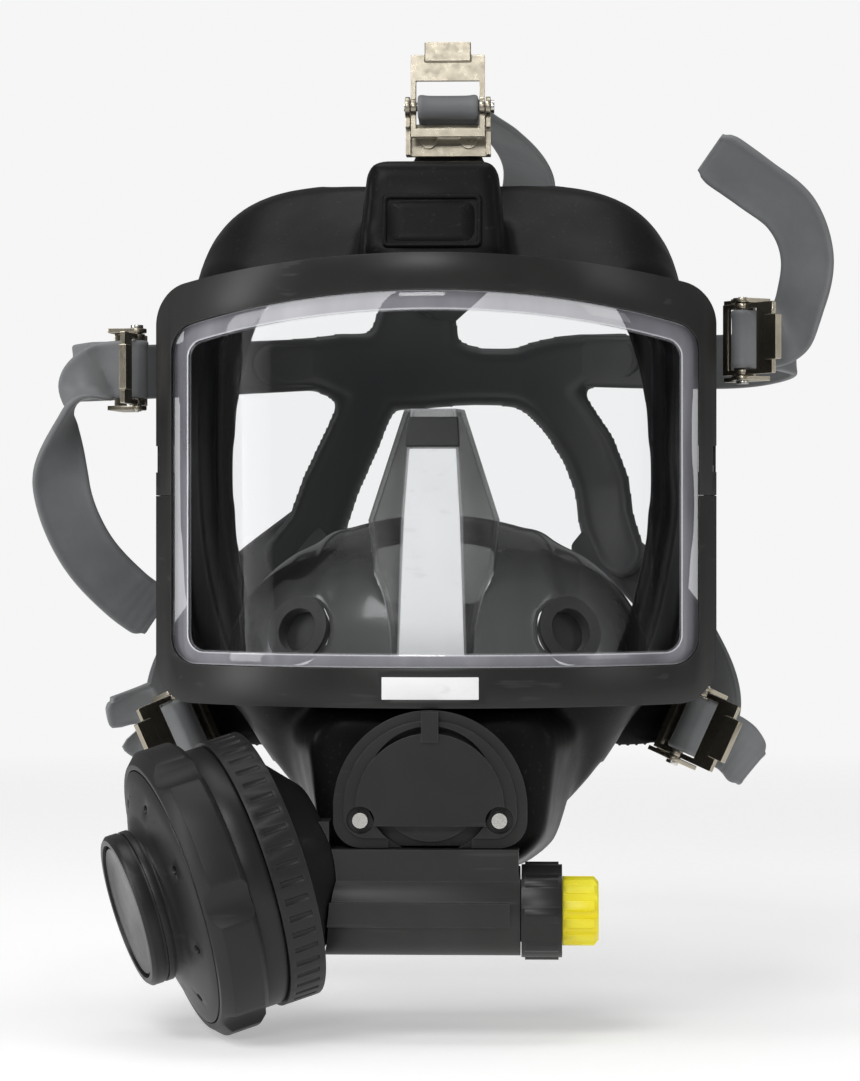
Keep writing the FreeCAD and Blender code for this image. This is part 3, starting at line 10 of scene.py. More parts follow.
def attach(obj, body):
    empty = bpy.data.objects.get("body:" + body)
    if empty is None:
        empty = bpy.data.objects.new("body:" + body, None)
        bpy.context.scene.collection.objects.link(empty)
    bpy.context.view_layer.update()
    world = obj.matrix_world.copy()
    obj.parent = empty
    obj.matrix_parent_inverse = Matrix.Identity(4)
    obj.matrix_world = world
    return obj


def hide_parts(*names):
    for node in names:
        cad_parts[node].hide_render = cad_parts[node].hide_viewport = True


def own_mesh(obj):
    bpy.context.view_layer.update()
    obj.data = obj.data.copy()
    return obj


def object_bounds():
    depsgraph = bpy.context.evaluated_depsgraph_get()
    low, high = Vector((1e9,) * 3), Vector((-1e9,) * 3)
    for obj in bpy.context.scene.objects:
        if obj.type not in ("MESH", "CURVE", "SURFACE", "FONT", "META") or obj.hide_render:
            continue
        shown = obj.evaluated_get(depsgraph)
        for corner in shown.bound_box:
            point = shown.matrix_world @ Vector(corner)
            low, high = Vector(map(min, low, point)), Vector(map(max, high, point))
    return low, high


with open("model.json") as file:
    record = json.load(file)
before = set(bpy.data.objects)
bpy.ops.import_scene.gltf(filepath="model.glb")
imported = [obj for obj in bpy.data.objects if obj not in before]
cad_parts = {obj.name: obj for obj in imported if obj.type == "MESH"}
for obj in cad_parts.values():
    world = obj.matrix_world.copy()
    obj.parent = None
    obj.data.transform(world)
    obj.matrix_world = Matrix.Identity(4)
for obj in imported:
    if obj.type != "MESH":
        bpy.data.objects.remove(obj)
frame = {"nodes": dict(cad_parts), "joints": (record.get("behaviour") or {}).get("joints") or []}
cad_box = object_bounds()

MM = 0.001

# Camera: level with the visor's lower half, a little to the wearer's left of straight ahead.
VIEW_AZIMUTH = 2
CAMERA_DISTANCE = 1.05
CAMERA_HEIGHT = -0.0121
CAMERA_LEFT = 0.0035
LENS = 109.9
SENSOR = 36

# How far from a sharp CAD edge the moulded skins are eased, and how often.
EASE_REACH = 5
EASE_ROUNDS = 44

# Light: what the white world gives, what the backdrop shows, and the floor's own glow.
AMBIENT = 0.24
BACKDROP = 0.92
FLOOR_GLOW = 0.36
FLOOR_RADIUS = 1.6
FLOOR_DROP = 0.0005
FLOOR_FADE = (0.3, 1.2)

# The skirt's and inner mask's voxel sizes in millimetres, and rounds of easing for both.
SKIRT_VOXEL = 1.4
CUP_VOXEL = 0.9
SKIN_ROUNDS = 4

# Straps, in millimetres.
STRAP_WIDTH = 18
STRAP_THICKNESS = 2.2
STRAP_WEB = 1.6
STRAP_BEAD = 1.8
FOLD_RADIUS = 2.6
LEAD_IN = 15
LEAD_OUT = 10
TIP_LENGTH = 15
TIP_SWELL = 1.0
TIP_PARTS = 14

# The direction each strap leaves its buckle in.
LEAVING = {
    "top": (0, 1, 0),
    "temple_right": (0.82, 0.57, 0),
    "temple_left": (-0.985, 0.17, 0),
    "chin_right": (0.6, 0.75, -0.3),
    "chin_left": (-0.6, 0.75, -0.3),
}

# Each strap's run to the harness plate: places and width directions.
RUNS = {
    "top": [((7, -40, 119), (1, 0, 0)), ((18, -14, 117), (0.9, 0.1, -0.35)),
            ((28, 24, 106), (0.88, 0.1, -0.4)), ((18, 74, 89), (1, 0.1, -0.2)),
            ((-8, 99.5, 66), (1, 0, 0))],
    "temple_right": [((112, 0, 49), (0, 0, -1)), ((101, 32, 47), (0, 0, -1)),
                     ((76, 66, 48), (0, 0, -1)), ((43, 91.3, 50), (0, 0, -1))],
    "temple_left": [((-116, -6, 41), (0, 0, 1)), ((-106, 30, 43), (0, 0, 1)),
                    ((-78, 66, 46), (0, 0, 1)), ((-43, 91.3, 49), (0, 0, 1))],
    "chin_right": [((92, 12, -76), (-0.3, -0.1, -0.95)), ((88, 46, -56), (-0.2, -0.4, -0.9)),
                   ((68, 80, -26), (-0.3, -0.4, -0.9)), ((46.5, 89.6, -8), (-0.7, -0.2, -0.7))],
    "chin_left": [((-92, 10, -76), (-0.3, 0.1, 0.95)), ((-90, 44, -56), (-0.2, 0.4, 0.9)),
                  ((-70, 78, -26), (-0.3, 0.4, 0.9)), ((-45.6, 90, -6), (-0.7, 0.2, 0.7))],
}

# Each strap's loose tail beyond the buckle.
TAILS = {
    "top": [((4, -42, 113.5), (1, 0, 0)), ((5, -28, 111), (1, 0, 0))],
    "temple_right": [((108, -24, 53), (0.2, -0.1, -1)), ((112, -26, 62), (0.6, -0.5, -0.6)),
                     ((114, -26, 76), (0.85, -0.5, -0.17)), ((109, -27, 89), (0.8, -0.45, 0.4)),
                     ((98, -27, 98), (0.55, -0.45, 0.7)), ((84, -27, 108), (0.5, -0.4, 0.75))],
    "temple_left": [((-109, -32, 36), (0, 0.4, 0.9)), ((-114, -36, 25), (0.2, 0.9, 0.3)),
                    ((-117, -31, 6), (0.9, 0.45, -0.2)), ((-111, -22, -14), (0.9, 0.3, 0.3)),
                    ((-99, -12, -29), (0.7, 0.1, 0.7)), ((-90, -7, -36), (0.5, 0.1, 0.8))],
    "chin_right": [((93, -11, -77), (-0.4, 0, -0.9)), ((98, -5, -84), (-0.5, -0.2, -0.8))],
    "chin_left": [((-93, -15, -72), (-0.38, 0, 0.92)), ((-97, -18, -59), (-0.8, -0.5, 0.3))],
}

# The harness plate, unrolled: strokes of (x, z, half width) that melt into one another.
PLATE_STROKES = [
    [(-36, 48, 11), (-10, 47, 13), (10, 45, 10.2), (26, 44.5, 10), (38, 47, 10)],
    [(-26, 42, 9), (-33, 25, 9.6), (-41, 7, 9.8), (-46, -8, 10), (-54, -17, 9)],
    [(30, 42, 9), (41, 30, 9.4), (48, 19, 9.6), (52.5, 7, 9.6), (54, -5, 9.6), (58, -16, 9)],
    [(-14, 50, 15), (-12, 62, 14.5), (-7, 71, 11)],
    [(32, 47, 9.5), (46, 50, 9.2), (58, 50, 9)],
    [(-34, 48, 10), (-46, 49, 9.2), (-58, 48, 9)],
]
PLATE_MELT = 5.5
PLATE_ACROSS = (-72, 72)
PLATE_UP = (-32, 92)
PLATE_RADIUS = 96.5
PLATE_HALF_THICKNESS = 1.5
PLATE_CENTRE = 5

# Strap rubber's painted shade is darkest from this depth on, in metres.
PAINTED_SHADE_DEPTH = 0.07

# The forehead block's front face: the badge's height, the block's foot and its front there, and
# how far the face leans back over its height.
BADGE_HEIGHT = 81.5
BLOCK_FOOT = 62
BLOCK_FRONT = -88
BLOCK_LEAN = math.atan2(8, 38)


# ---------------------------------------------------------------- node trees

class Tree:
    """A short way to write one material's nodes."""

    def __init__(self, name):
        self.material = bpy.data.materials.new(name)
        self.material.use_nodes = True
        self.nodes = self.material.node_tree.nodes
        self.links = self.material.node_tree.links
        self.shader = self.nodes["Principled BSDF"]
        self.place = self.nodes.new("ShaderNodeTexCoord").outputs["Object"]

    def add(self, kind, sockets, **settings):
        made = self.nodes.new(kind)
        for key, value in settings.items():
            setattr(made, key, value)
        for key, value in sockets.items():
            self.plug(made.inputs[key], value)
        return made

    def plug(self, socket, value):
        if isinstance(value, bpy.types.NodeSocket):
            self.links.new(value, socket)
        else:
            socket.default_value = value

    def set(self, **sockets):
        for key, value in sockets.items():
            self.plug(self.shader.inputs[key.replace("_", " ")], value)

    def stretched(self, along):
        return self.add("ShaderNodeMapping", {"Vector": self.place, "Scale": along}).outputs[0]

    def noise(self, scale, detail=4, rough=0.55, place=None):
        return self.add("ShaderNodeTexNoise", {
            "Vector": place or self.place, "Scale": scale, "Detail": detail, "Roughness": rough,
        }).outputs["Fac"]

    def spread(self, value, low, high, start=0.0, end=1.0):
        return self.add("ShaderNodeMapRange", {
            "Value": value, "From Min": low, "From Max": high, "To Min": start, "To Max": end,
        }).outputs["Result"]

    def plus(self, a, b):
        return self.add("ShaderNodeMath", {0: a, 1: b}, operation="ADD", use_clamp=True).outputs[0]

    def times(self, a, b):
        return self.add("ShaderNodeMath", {0: a, 1: b}, operation="MULTIPLY", use_clamp=True).outputs[0]

    def blend(self, share, a, b):
        """Colour a where share is 0, colour b where it is 1."""
        return self.add("ShaderNodeMix", {0: share, 6: a, 7: b}, data_type="RGBA").outputs[2]

    def edges(self, radius):
        """1 at a solid's edges and 0 on its flats."""
        rounded = self.add("ShaderNodeBevel", {"Radius": radius}, samples=4).outputs[0]
        plain = self.add("ShaderNodeNewGeometry", {}).outputs["Normal"]
        match = self.add("ShaderNodeVectorMath", {0: rounded, 1: plain}, operation="DOT_PRODUCT")
        return self.spread(match.outputs["Value"], 0.995, 0.86)

    def bump(self, height, strength, distance, below=None):
        sockets = {"Height": height, "Strength": strength, "Distance": distance}
        if below is not None:
            sockets["Normal"] = below
        return self.add("ShaderNodeBump", sockets).outputs[0]

    def radius(self):
        """Distance from the object's upright axis."""
        parts = self.add("ShaderNodeSeparateXYZ", {0: self.place})
        flat = self.add("ShaderNodeCombineXYZ", {0: parts.outputs[0], 1: parts.outputs[1]})
        length = self.add("ShaderNodeVectorMath", {0: flat.outputs[0]}, operation="LENGTH")
        return length.outputs["Value"]

    def layer(self, share, below, above):
        made = self.add("ShaderNodeMixShader", {0: share, 1: below, 2: above})
        return made.outputs[0]

    def finish(self, surface):
        self.links.new(surface, self.nodes["Material Output"].inputs["Surface"])
        return self.material


def grey(value, warm=0.0):
    return (value * (1 + warm), value, value * (1 - warm), 1)


def plastic(name, shade, rough, pebble=0.12, wear_and_highlight=0.5, warm=0.03, pebble_size=1400):
    """Moulded plastic: drifting shade, fine pebble, hairline scratches, and edges lightened partly as
    rubbed wear and partly as painted highlight.
    """
    tree = Tree(name)
    drift = tree.noise(28, 5)
    smear = tree.noise(9, 3, 0.6, tree.stretched((1, 1, 3)))
    scratch = tree.spread(tree.noise(160, 2, 0.5, tree.stretched((0.12, 1, 2.4))), 0.66, 0.72)
    # Lighter edges: partly rubbed wear, partly a painted highlight along the edges.
    rubbed_and_highlight = tree.times(tree.edges(0.0006), tree.spread(tree.noise(240, 4), 0.35, 0.7))
    colour = tree.blend(tree.spread(drift, 0.35, 0.65), grey(shade, warm), grey(shade * 1.55, warm))
    colour = tree.blend(tree.times(rubbed_and_highlight, wear_and_highlight), colour, grey(shade * 6 + 0.02, warm))
    colour = tree.blend(tree.times(scratch, 0.18), colour, grey(shade * 5, 0))
    dull = tree.spread(smear, 0.3, 0.7, rough - 0.07, rough + 0.08)
    dull = tree.plus(dull, tree.times(scratch, 0.12))
    fine = tree.bump(tree.noise(pebble_size, 3), pebble, 0.0001)
    tree.set(Base_Color=colour, Roughness=dull, Normal=tree.bump(tree.noise(170, 3), 0.03, 0.0004, fine))
    tree.set(Specular_IOR_Level=0.32)
    return tree.material


def rubber(name, shade, rough, bloom=0.35, pebble=0.25, sheen=0.15, warm=0.02, gloss=0.3,
           shade_behind_head=1):
    """Moulded rubber: pale bloom in patches, matt grain, and edges lightened partly as rubbed wear and
    partly as painted highlight.
    Towards the back of the head it darkens to a given share of its shade: painted shade for where the
    harness plate lies in the mask's shadow."""
    tree = Tree(name)
    patches = tree.spread(tree.noise(22, 6, 0.6), 0.42, 0.72)
    dust = tree.spread(tree.noise(900, 2), 0.62, 0.8)
    # Lighter edges: partly rubbed wear, partly a painted highlight along the edges.
    rubbed_and_highlight = tree.times(tree.edges(0.0012), tree.spread(tree.noise(120, 4), 0.3, 0.75))
    colour = tree.blend(tree.times(patches, bloom), grey(shade, warm), grey(shade * 2.4, warm))
    colour = tree.blend(tree.times(dust, 0.12), colour, grey(0.16, 0.04))
    colour = tree.blend(tree.times(rubbed_and_highlight, 0.35), colour, grey(shade * 4, warm))
    # Painted shade: darker towards the back of the head, where the harness plate lies in the mask's
    # shadow.
    if shade_behind_head < 1:
        depth = tree.add("ShaderNodeSeparateXYZ", {0: tree.place}).outputs[1]
        painted_shade = grey(shade * shade_behind_head, warm)
        colour = tree.blend(tree.spread(depth, 0, PAINTED_SHADE_DEPTH), colour, painted_shade)
    dull = tree.spread(tree.noise(35, 4), 0.3, 0.7, rough - 0.08, rough + 0.1)
    fine = tree.bump(tree.noise(1900, 3), pebble, 0.00007)
    tree.set(Base_Color=colour, Roughness=dull, Normal=tree.bump(tree.noise(60, 4), 0.035, 0.001, fine))
    tree.set(Sheen_Weight=sheen, Sheen_Roughness=0.5, Specular_IOR_Level=gloss)
    return tree.material


def metal(name, colour, rough, brushed=(1, 1, 30), tarnish=0.25):
    """Worn metal: brushed grain, tarnish in patches, and bright edges that are partly rubbed wear and
    partly painted highlight.
    """
    tree = Tree(name)
    grain = tree.noise(420, 4, 0.6, tree.stretched(brushed))
    patches = tree.spread(tree.noise(140, 5, 0.6), 0.45, 0.75)
    dark = tuple(channel * 0.45 for channel in colour[:3]) + (1,)
    # Brighter edge colour: partly rubbed wear, partly a painted highlight along the edges.
    rubbed_highlight = tuple(min(1, channel * 1.7) for channel in colour[:3]) + (1,)
    shade = tree.blend(tree.times(patches, tarnish), colour, dark)
    shade = tree.blend(tree.spread(grain, 0.3, 0.7, 0, 0.25), shade, dark)
    shade = tree.blend(tree.times(tree.edges(0.0005), 0.6), shade, rubbed_highlight)
    dull = tree.spread(grain, 0.3, 0.7, rough - 0.06, rough + 0.12)
    tree.set(Base_Color=shade, Roughness=dull, Metallic=1.0)
    tree.set(Normal=tree.bump(grain, 0.12, 0.0001))
    return tree.material


def visor_clear():
    """Polished clear lens; its raised rim is painted light grey, standing in for light gathered in the
    moulding, with painted highlights along the moulding's edges.
    """
    tree = Tree("clear_visor")
    rim = tree.spread(tree.radius(), 0.0946, 0.0952)
    edge = tree.edges(0.0009)
    smudge = tree.spread(tree.noise(24, 5, 0.6), 0.45, 0.8, 0.015, 0.09)
    hair = tree.spread(tree.noise(120, 2, 0.5, tree.stretched((0.1, 1, 3))), 0.68, 0.73)
    tree.set(Roughness=tree.plus(smudge, tree.times(hair, 0.1)), Coat_Weight=0.4)
    # Painted light: the rim's grey streaks stand in for light in the clear moulding, and its edges are
    # painted near white as highlights.
    painted_rim_light = tree.spread(tree.noise(50, 3, 0.5, tree.stretched((1, 1, 0.35))), 0.3, 0.7)
    body = tree.blend(painted_rim_light, (0.22, 0.22, 0.25, 1), (0.46, 0.45, 0.5, 1))
    tree.set(Base_Color=tree.blend(edge, body, (0.95, 0.96, 1, 1)))
    through = tree.add("ShaderNodeBsdfTransparent", {"Color": (0.965, 0.97, 0.975, 1)}).outputs[0]
    mirror = tree.add("ShaderNodeBsdfGlossy", {"Color": (1, 1, 1, 1), "Roughness": smudge}).outputs[0]
    glance = tree.add("ShaderNodeFresnel", {"IOR": 1.45}).outputs[0]
    lens = tree.layer(tree.times(glance, 0.045), through, mirror)
    solid = tree.spread(edge, 0, 1, 0.62, 0.97)
    moulding = tree.layer(solid, through, tree.shader.outputs[0])
    # Painted highlight: the near-white edge colour also shows over the lens.
    edge_only = tree.times(edge, 0.35)
    lens = tree.layer(edge_only, lens, tree.shader.outputs[0])
    return tree.finish(tree.layer(rim, lens, moulding))


def clear_moulding(name, dark, light, cover, rough, ridge_highlight=0.9, ridge_width=0.0011):
    """A clear or smoky moulding: partly see-through, with flow lines and painted highlights along its
    ridges.
    """
    tree = Tree(name)
    edge = tree.edges(ridge_width)
    flow = tree.spread(tree.noise(26, 4, 0.6, tree.stretched((2.2, 1, 0.5))), 0.35, 0.7)
    colour = tree.blend(flow, grey(dark, 0.02), grey(light, 0.02))
    # Painted highlight: the ridges are blended towards near white and made more solid.
    tree.set(Base_Color=tree.blend(tree.times(edge, ridge_highlight), colour, (0.9, 0.91, 0.92, 1)))
    tree.set(Roughness=tree.spread(tree.noise(60, 3), 0.3, 0.7, rough - 0.04, rough + 0.08))
    tree.set(Coat_Weight=0.5, Coat_Roughness=0.08)
    tree.set(Normal=tree.bump(tree.noise(130, 3), 0.08, 0.0008))
    through = tree.add("ShaderNodeBsdfTransparent", {"Color": (0.8, 0.81, 0.8, 1)}).outputs[0]
    glance = tree.add("ShaderNodeLayerWeight", {"Blend": 0.35}).outputs["Facing"]
    solid = tree.plus(tree.spread(glance, 0, 1, cover, 1), tree.times(edge, ridge_highlight * 0.4))
    return tree.finish(tree.layer(solid, through, tree.shader.outputs[0]))


def white_blank():
    """A white printed-label blank with faint scuffs."""
    tree = Tree("white_plate")
    scuff = tree.spread(tree.noise(300, 4, 0.6, tree.stretched((0.5, 1, 1))), 0.6, 0.75)
    drift = tree.spread(tree.noise(60, 3), 0.3, 0.7)
    colour = tree.blend(drift, (0.84, 0.84, 0.835, 1), (0.9, 0.9, 0.9, 1))
    tree.set(Base_Color=tree.blend(tree.times(scuff, 0.3), colour, (0.55, 0.55, 0.54, 1)))
    tree.set(Roughness=tree.spread(drift, 0, 1, 0.35, 0.5), Normal=tree.bump(scuff, 0.1, 0.0001))
    return tree.material


def yellow_cap():
    """Bright soft plastic, a little translucent, with flow marks and grubby flutes."""
    tree = Tree("yellow_plastic")
    flow = tree.spread(tree.noise(90, 4, 0.6, tree.stretched((0.4, 1, 1))), 0.35, 0.7)
    grime = tree.spread(tree.noise(260, 5, 0.6), 0.6, 0.82)
    colour = tree.blend(flow, (0.88, 0.74, 0.012, 1), (0.95, 0.9, 0.05, 1))
    colour = tree.blend(tree.times(grime, 0.35), colour, (0.42, 0.33, 0.03, 1))
    tree.set(Base_Color=colour, Roughness=tree.spread(flow, 0, 1, 0.32, 0.46))
    tree.set(Subsurface_Weight=0.15, Subsurface_Radius=(0.002, 0.0012, 0.0003))
    tree.set(Normal=tree.bump(tree.noise(700, 3), 0.08, 0.0002))
    return tree.material


PALETTE = {
    "clear_visor": visor_clear(),
    "frame_plastic": plastic("frame_plastic", 0.014, 0.33, pebble=0.1, wear_and_highlight=0.35),
    "white_plate": white_blank(),
    "steel": metal("steel", (0.72, 0.7, 0.66, 1), 0.24),
    "brass": metal("brass", (0.72, 0.53, 0.26, 1), 0.3),
    "bronze": metal("bronze", (0.5, 0.33, 0.18, 1), 0.55, brushed=(1, 1, 1), tarnish=0.5),
    "skirt_rubber": rubber("skirt_rubber", 0.006, 0.38, bloom=0.2, pebble=0.15, sheen=0, gloss=0.09),
    "smoky_cup": clear_moulding("smoky_cup", 0.014, 0.04, cover=0.68, rough=0.22, ridge_highlight=0.12),
    "clear_nose": clear_moulding("clear_nose", 0.05, 0.24, cover=0.34, rough=0.1, ridge_width=0.002),
    "clip_black": plastic("clip_black", 0.007, 0.3, pebble=0.05),
    "valve_rubber": rubber("valve_rubber", 0.03, 0.5, bloom=0.3, pebble=0.15),
    "port_plastic": plastic("port_plastic", 0.014, 0.4, pebble=0.14, wear_and_highlight=0.4),
    "body_plastic": plastic("body_plastic", 0.018, 0.42, pebble=0.14, wear_and_highlight=0.35),
    "nut_black": plastic("nut_black", 0.012, 0.36, pebble=0.16),
    "yellow_plastic": yellow_cap(),
    "case_plastic": plastic("case_plastic", 0.009, 0.38, pebble=0.1, wear_and_highlight=0.35, warm=0.02),
    "ring_plastic": plastic("ring_plastic", 0.01, 0.44, pebble=0.22, wear_and_highlight=0.35, pebble_size=900),
    "button_rubber": rubber("button_rubber", 0.012, 0.3, bloom=0.3, pebble=0.12, sheen=0, warm=0),
    "inner_steel": metal("inner_steel", (0.6, 0.6, 0.6, 1), 0.3),
    "buckle_steel": metal("buckle_steel", (0.44, 0.4, 0.32, 1), 0.3, brushed=(1, 30, 1)),
    "strap_rubber": rubber("strap_rubber", 0.16, 0.44, bloom=0.3, pebble=0.2, sheen=0.1, warm=-0.03,
                           shade_behind_head=0.14),
}


# ---------------------------------------------------------------- mesh helpers

def new_piece(name, vertices, faces, slot):
    mesh = bpy.data.meshes.new(name)
    mesh.from_pydata(vertices, [], faces)
    mesh.update()
    return piece_from_mesh(name, mesh, slot)


def piece_from_mesh(name, mesh, slot):
    mesh.materials.clear()
    mesh.materials.append(PALETTE[slot])
    outward = bmesh.new()
    outward.from_mesh(mesh)
    bmesh.ops.recalc_face_normals(outward, faces=outward.faces)
    outward.to_mesh(mesh)
    outward.free()
    mesh.shade_smooth()
    made = bpy.data.objects.new(name, mesh)
    bpy.context.scene.collection.objects.link(made)
    return made


def loft(name, rings, slot):
    """A closed skin through rings that all have the same number of points."""
    count = len(rings[0])
    vertices = [point for ring in rings for point in ring]
    faces = []
    for i in range(len(rings) - 1):
        for j in range(count):
            k = (j + 1) % count
            low = i * count
            faces.append((low + j, low + k, low + count + k, low + count + j))
    faces.append(tuple(reversed(range(count))))
    faces.append(tuple(range(len(vertices) - count, len(vertices))))
    return new_piece(name, vertices, faces, slot)


def skin_over(name, node, voxel, slot):
    """A smooth moulded skin over one CAD solid, with its sharp corners melted."""
    source = bmesh.new()
    source.from_mesh(frame["nodes"][node].data)
    bmesh.ops.remove_doubles(source, verts=source.verts, dist=1e-6)
    blank = bpy.data.meshes.new(name + "_blank")
    source.to_mesh(blank)
    source.free()
    places = sharp_places(blank)
    made = melted(name, blank, voxel, slot)
    ease_edges(made, places)
    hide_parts(node)
    return made


def sharp_places(mesh):
    """Points every millimetre along a mesh's sharp edges."""
    source = bmesh.new()
    source.from_mesh(mesh)
    places = []
    for edge in source.edges:
        if len(edge.link_faces) == 2 and edge.calc_face_angle() > math.radians(30):
            start, end = (vertex.co for vertex in edge.verts)
            parts = max(1, math.ceil((end - start).length / MM))
            places += [start.lerp(end, step / parts) for step in range(parts + 1)]
    source.free()
    return places


def ease_edges(piece, places):
    """Smooth a piece's vertices near the given places much further than the rest."""
    tree = KDTree(len(places))
    for i, place in enumerate(places):
        tree.insert(place, i)
    tree.balance()
    near = piece.vertex_groups.new(name="near sharp edges")
    for vertex in piece.data.vertices:
        gap = tree.find(vertex.co)[2] / MM
        if gap < EASE_REACH:
            near.add([vertex.index], min(1, 2 - 2 * gap / EASE_REACH), "REPLACE")
    ease = piece.modifiers.new("eased edges", "SMOOTH")
    ease.factor = 0.5
    ease.iterations = EASE_ROUNDS
    ease.vertex_group = near.name


def melted(name, blank, voxel, slot):
    """Remesh a closed mesh evenly and ease its corners."""
    worked = bpy.data.objects.new(name + "_blank", blank)
    bpy.context.scene.collection.objects.link(worked)
    melt = worked.modifiers.new("melt", "REMESH")
    melt.mode = "VOXEL"
    melt.voxel_size = voxel * MM
    ease = worked.modifiers.new("ease", "SMOOTH")
    ease.factor = 0.5
    ease.iterations = SKIN_ROUNDS
    seen = worked.evaluated_get(bpy.context.evaluated_depsgraph_get())
    mesh = bpy.data.meshes.new_from_object(seen)
    bpy.data.objects.remove(worked)
    mesh.name = name
    return piece_from_mesh(name, mesh, slot)


def push(piece, depth_at):
    """Move each vertex along its normal by depth_at(place, normal), in millimetres."""
    mesh = piece.data
    moves = [depth_at(v.co / MM, v.normal) * MM for v in mesh.vertices]
    normals = [v.normal.copy() for v in mesh.vertices]
    for vertex, normal, move in zip(mesh.vertices, normals, moves):
        vertex.co += normal * move
    mesh.update()


def bell(value, width):
    """1 at 0, easing to nothing at width."""
    share = min(1, abs(value) / width)
    return (1 - share * share) ** 2


# ---------------------------------------------------------------- skirt, cup and harness plate

def add_skirt():
    skirt = skin_over("moulded_skirt", "face_skirt", SKIRT_VOXEL, "skirt_rubber")
    push(skirt, skirt_relief)
    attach(skirt, "mask")


def skirt_relief(place, normal):
    """Raised beads: round the dome behind the frame, and round the face edge."""
    depth = 0
    if normal.y < 0.9 and abs(normal.x) + abs(normal.z) > 0.3:
        if place.z > 0 or abs(place.x) > 50:
            depth += 0.9 * bell(place.y + 30, 2.6)
            depth += 0.6 * bell(place.y + 2, 2.4)
    return depth


def add_cup():
    cup = skin_over("smoky_inner_mask", "inner_mask", CUP_VOXEL, "smoky_cup")
    push(cup, cup_relief)
    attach(cup, "mask")


def cup_relief(place, normal):
    """Creases that fall from the nose piece: a raised fold with a shallow groove just outside it."""
    if normal.y > 0.3:
        return 0
    fold = abs(place.x) - 31 + (place.z + 10) * 0.16
    return 0.7 * bell(fold, 5) - 0.5 * bell(fold - 7, 5)


def plate_depth(x, z):
    """How far inside the harness plate's outline a place is, in millimetres."""
    total = 0
    for stroke in PLATE_STROKES:
        nearest = -1e3
        for (ax, az, a_half), (bx, bz, b_half) in zip(stroke, stroke[1:]):
            dx, dz = bx - ax, bz - az
            share = ((x - ax) * dx + (z - az) * dz) / (dx * dx + dz * dz)
            share = min(1, max(0, share))
            away = math.hypot(x - ax - dx * share, z - az - dz * share)
            nearest = max(nearest, a_half + (b_half - a_half) * share - away)
        total += math.exp(max(-60, nearest / PLATE_MELT * 3))
    return math.log(total) * PLATE_MELT / 3


def on_outline(x, z):
    """The nearest place on the plate's outline to one close to it."""
    for _ in range(3):
        depth = plate_depth(x, z)
        slope_x = (plate_depth(x + 0.1, z) - plate_depth(x - 0.1, z)) / 0.2
        slope_z = (plate_depth(x, z + 0.1) - plate_depth(x, z - 0.1)) / 0.2
        steep = max(0.1, slope_x * slope_x + slope_z * slope_z)
        x -= depth * slope_x / steep
        z -= depth * slope_z / steep
    return x, z


def plate_swell(depth):
    """Half the plate's thickness: a round rim, then a bead, then the flat web."""
    rim = 1 - min(1, max(0, depth) / PLATE_HALF_THICKNESS)
    return PLATE_HALF_THICKNESS * math.sqrt(1 - rim * rim) + 0.55 * bell(depth - 2.6, 1.9) * (1 - rim)


def plate_point(x, z, swell):
    radius = PLATE_RADIUS + swell
    return Vector((x, PLATE_CENTRE + math.sqrt(radius * radius - x * x), z)) * MM


def add_harness_plate():
    """A sheet on a cylinder behind the head, cut to the melted strokes, thickened both ways."""
    cells = {(i, j) for i in range(*PLATE_ACROSS) for j in range(*PLATE_UP)
             if plate_depth(i + 0.5, j + 0.5) > 0}
    numbers = {}
    vertices = []

    def corner(i, j, side):
        inside = all(cell in cells for cell in ((i, j), (i - 1, j), (i, j - 1), (i - 1, j - 1)))
        key = (i, j, side if inside else 0)
        if key not in numbers:
            numbers[key] = len(vertices)
            x, z = (i, j) if inside else on_outline(i, j)
            swell = plate_swell(plate_depth(x, z)) if inside else 0
            vertices.append(plate_point(x, z, key[2] * swell))
        return numbers[key]

    faces = []
    for i, j in sorted(cells):
        around = [(i, j), (i + 1, j), (i + 1, j + 1), (i, j + 1)]
        faces.append([corner(a, b, 1) for a, b in around])
        faces.append([corner(a, b, -1) for a, b in reversed(around)])
    plate = new_piece("moulded_harness_plate", vertices, faces, "strap_rubber")
    ease = plate.modifiers.new("ease", "SMOOTH")
    ease.factor = 0.5
    ease.iterations = 2
    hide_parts("harness_plate")
    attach(plate, "mask")


# ---------------------------------------------------------------- straps

def pin_of(name):
    """The buckle pin's centre and direction, from the joint that the buckle tilts on."""
    joint = next(j for j in frame["joints"] if j["name"] == "buckle_%s_tilt" % name)
    return Vector(joint["pos_m"]) / MM, Vector(joint["axis"])


def curve_through(stations, parts):
    """More stations on a smooth curve through the given places."""
    result = []
    last = len(stations) - 1
    for i in range(last):
        before, start = stations[max(i - 1, 0)][0], stations[i][0]
        end, after = stations[i + 1][0], stations[min(i + 2, last)][0]
        reach = (end - start).length
        leave = slope(before, start, end) * reach
        arrive = slope(start, end, after) * reach
        for j in range(parts):
            t = j / parts
            place = hermite(start, end, leave, arrive, t)
            across = stations[i][1].lerp(stations[i + 1][1], t).normalized()
            result.append((place, across))
    result.append(stations[-1])
    return result


def slope(before, here, after):
    """Unit direction of a curve at a point between its neighbours."""
    return ((here - before).normalized() + (after - here).normalized()).normalized()


def hermite(start, end, leave, arrive, t):
    square, cube = t * t, t * t * t
    return (start * (2 * cube - 3 * square + 1) + leave * (cube - 2 * square + t)
            + end * (3 * square - 2 * cube) + arrive * (cube - square))


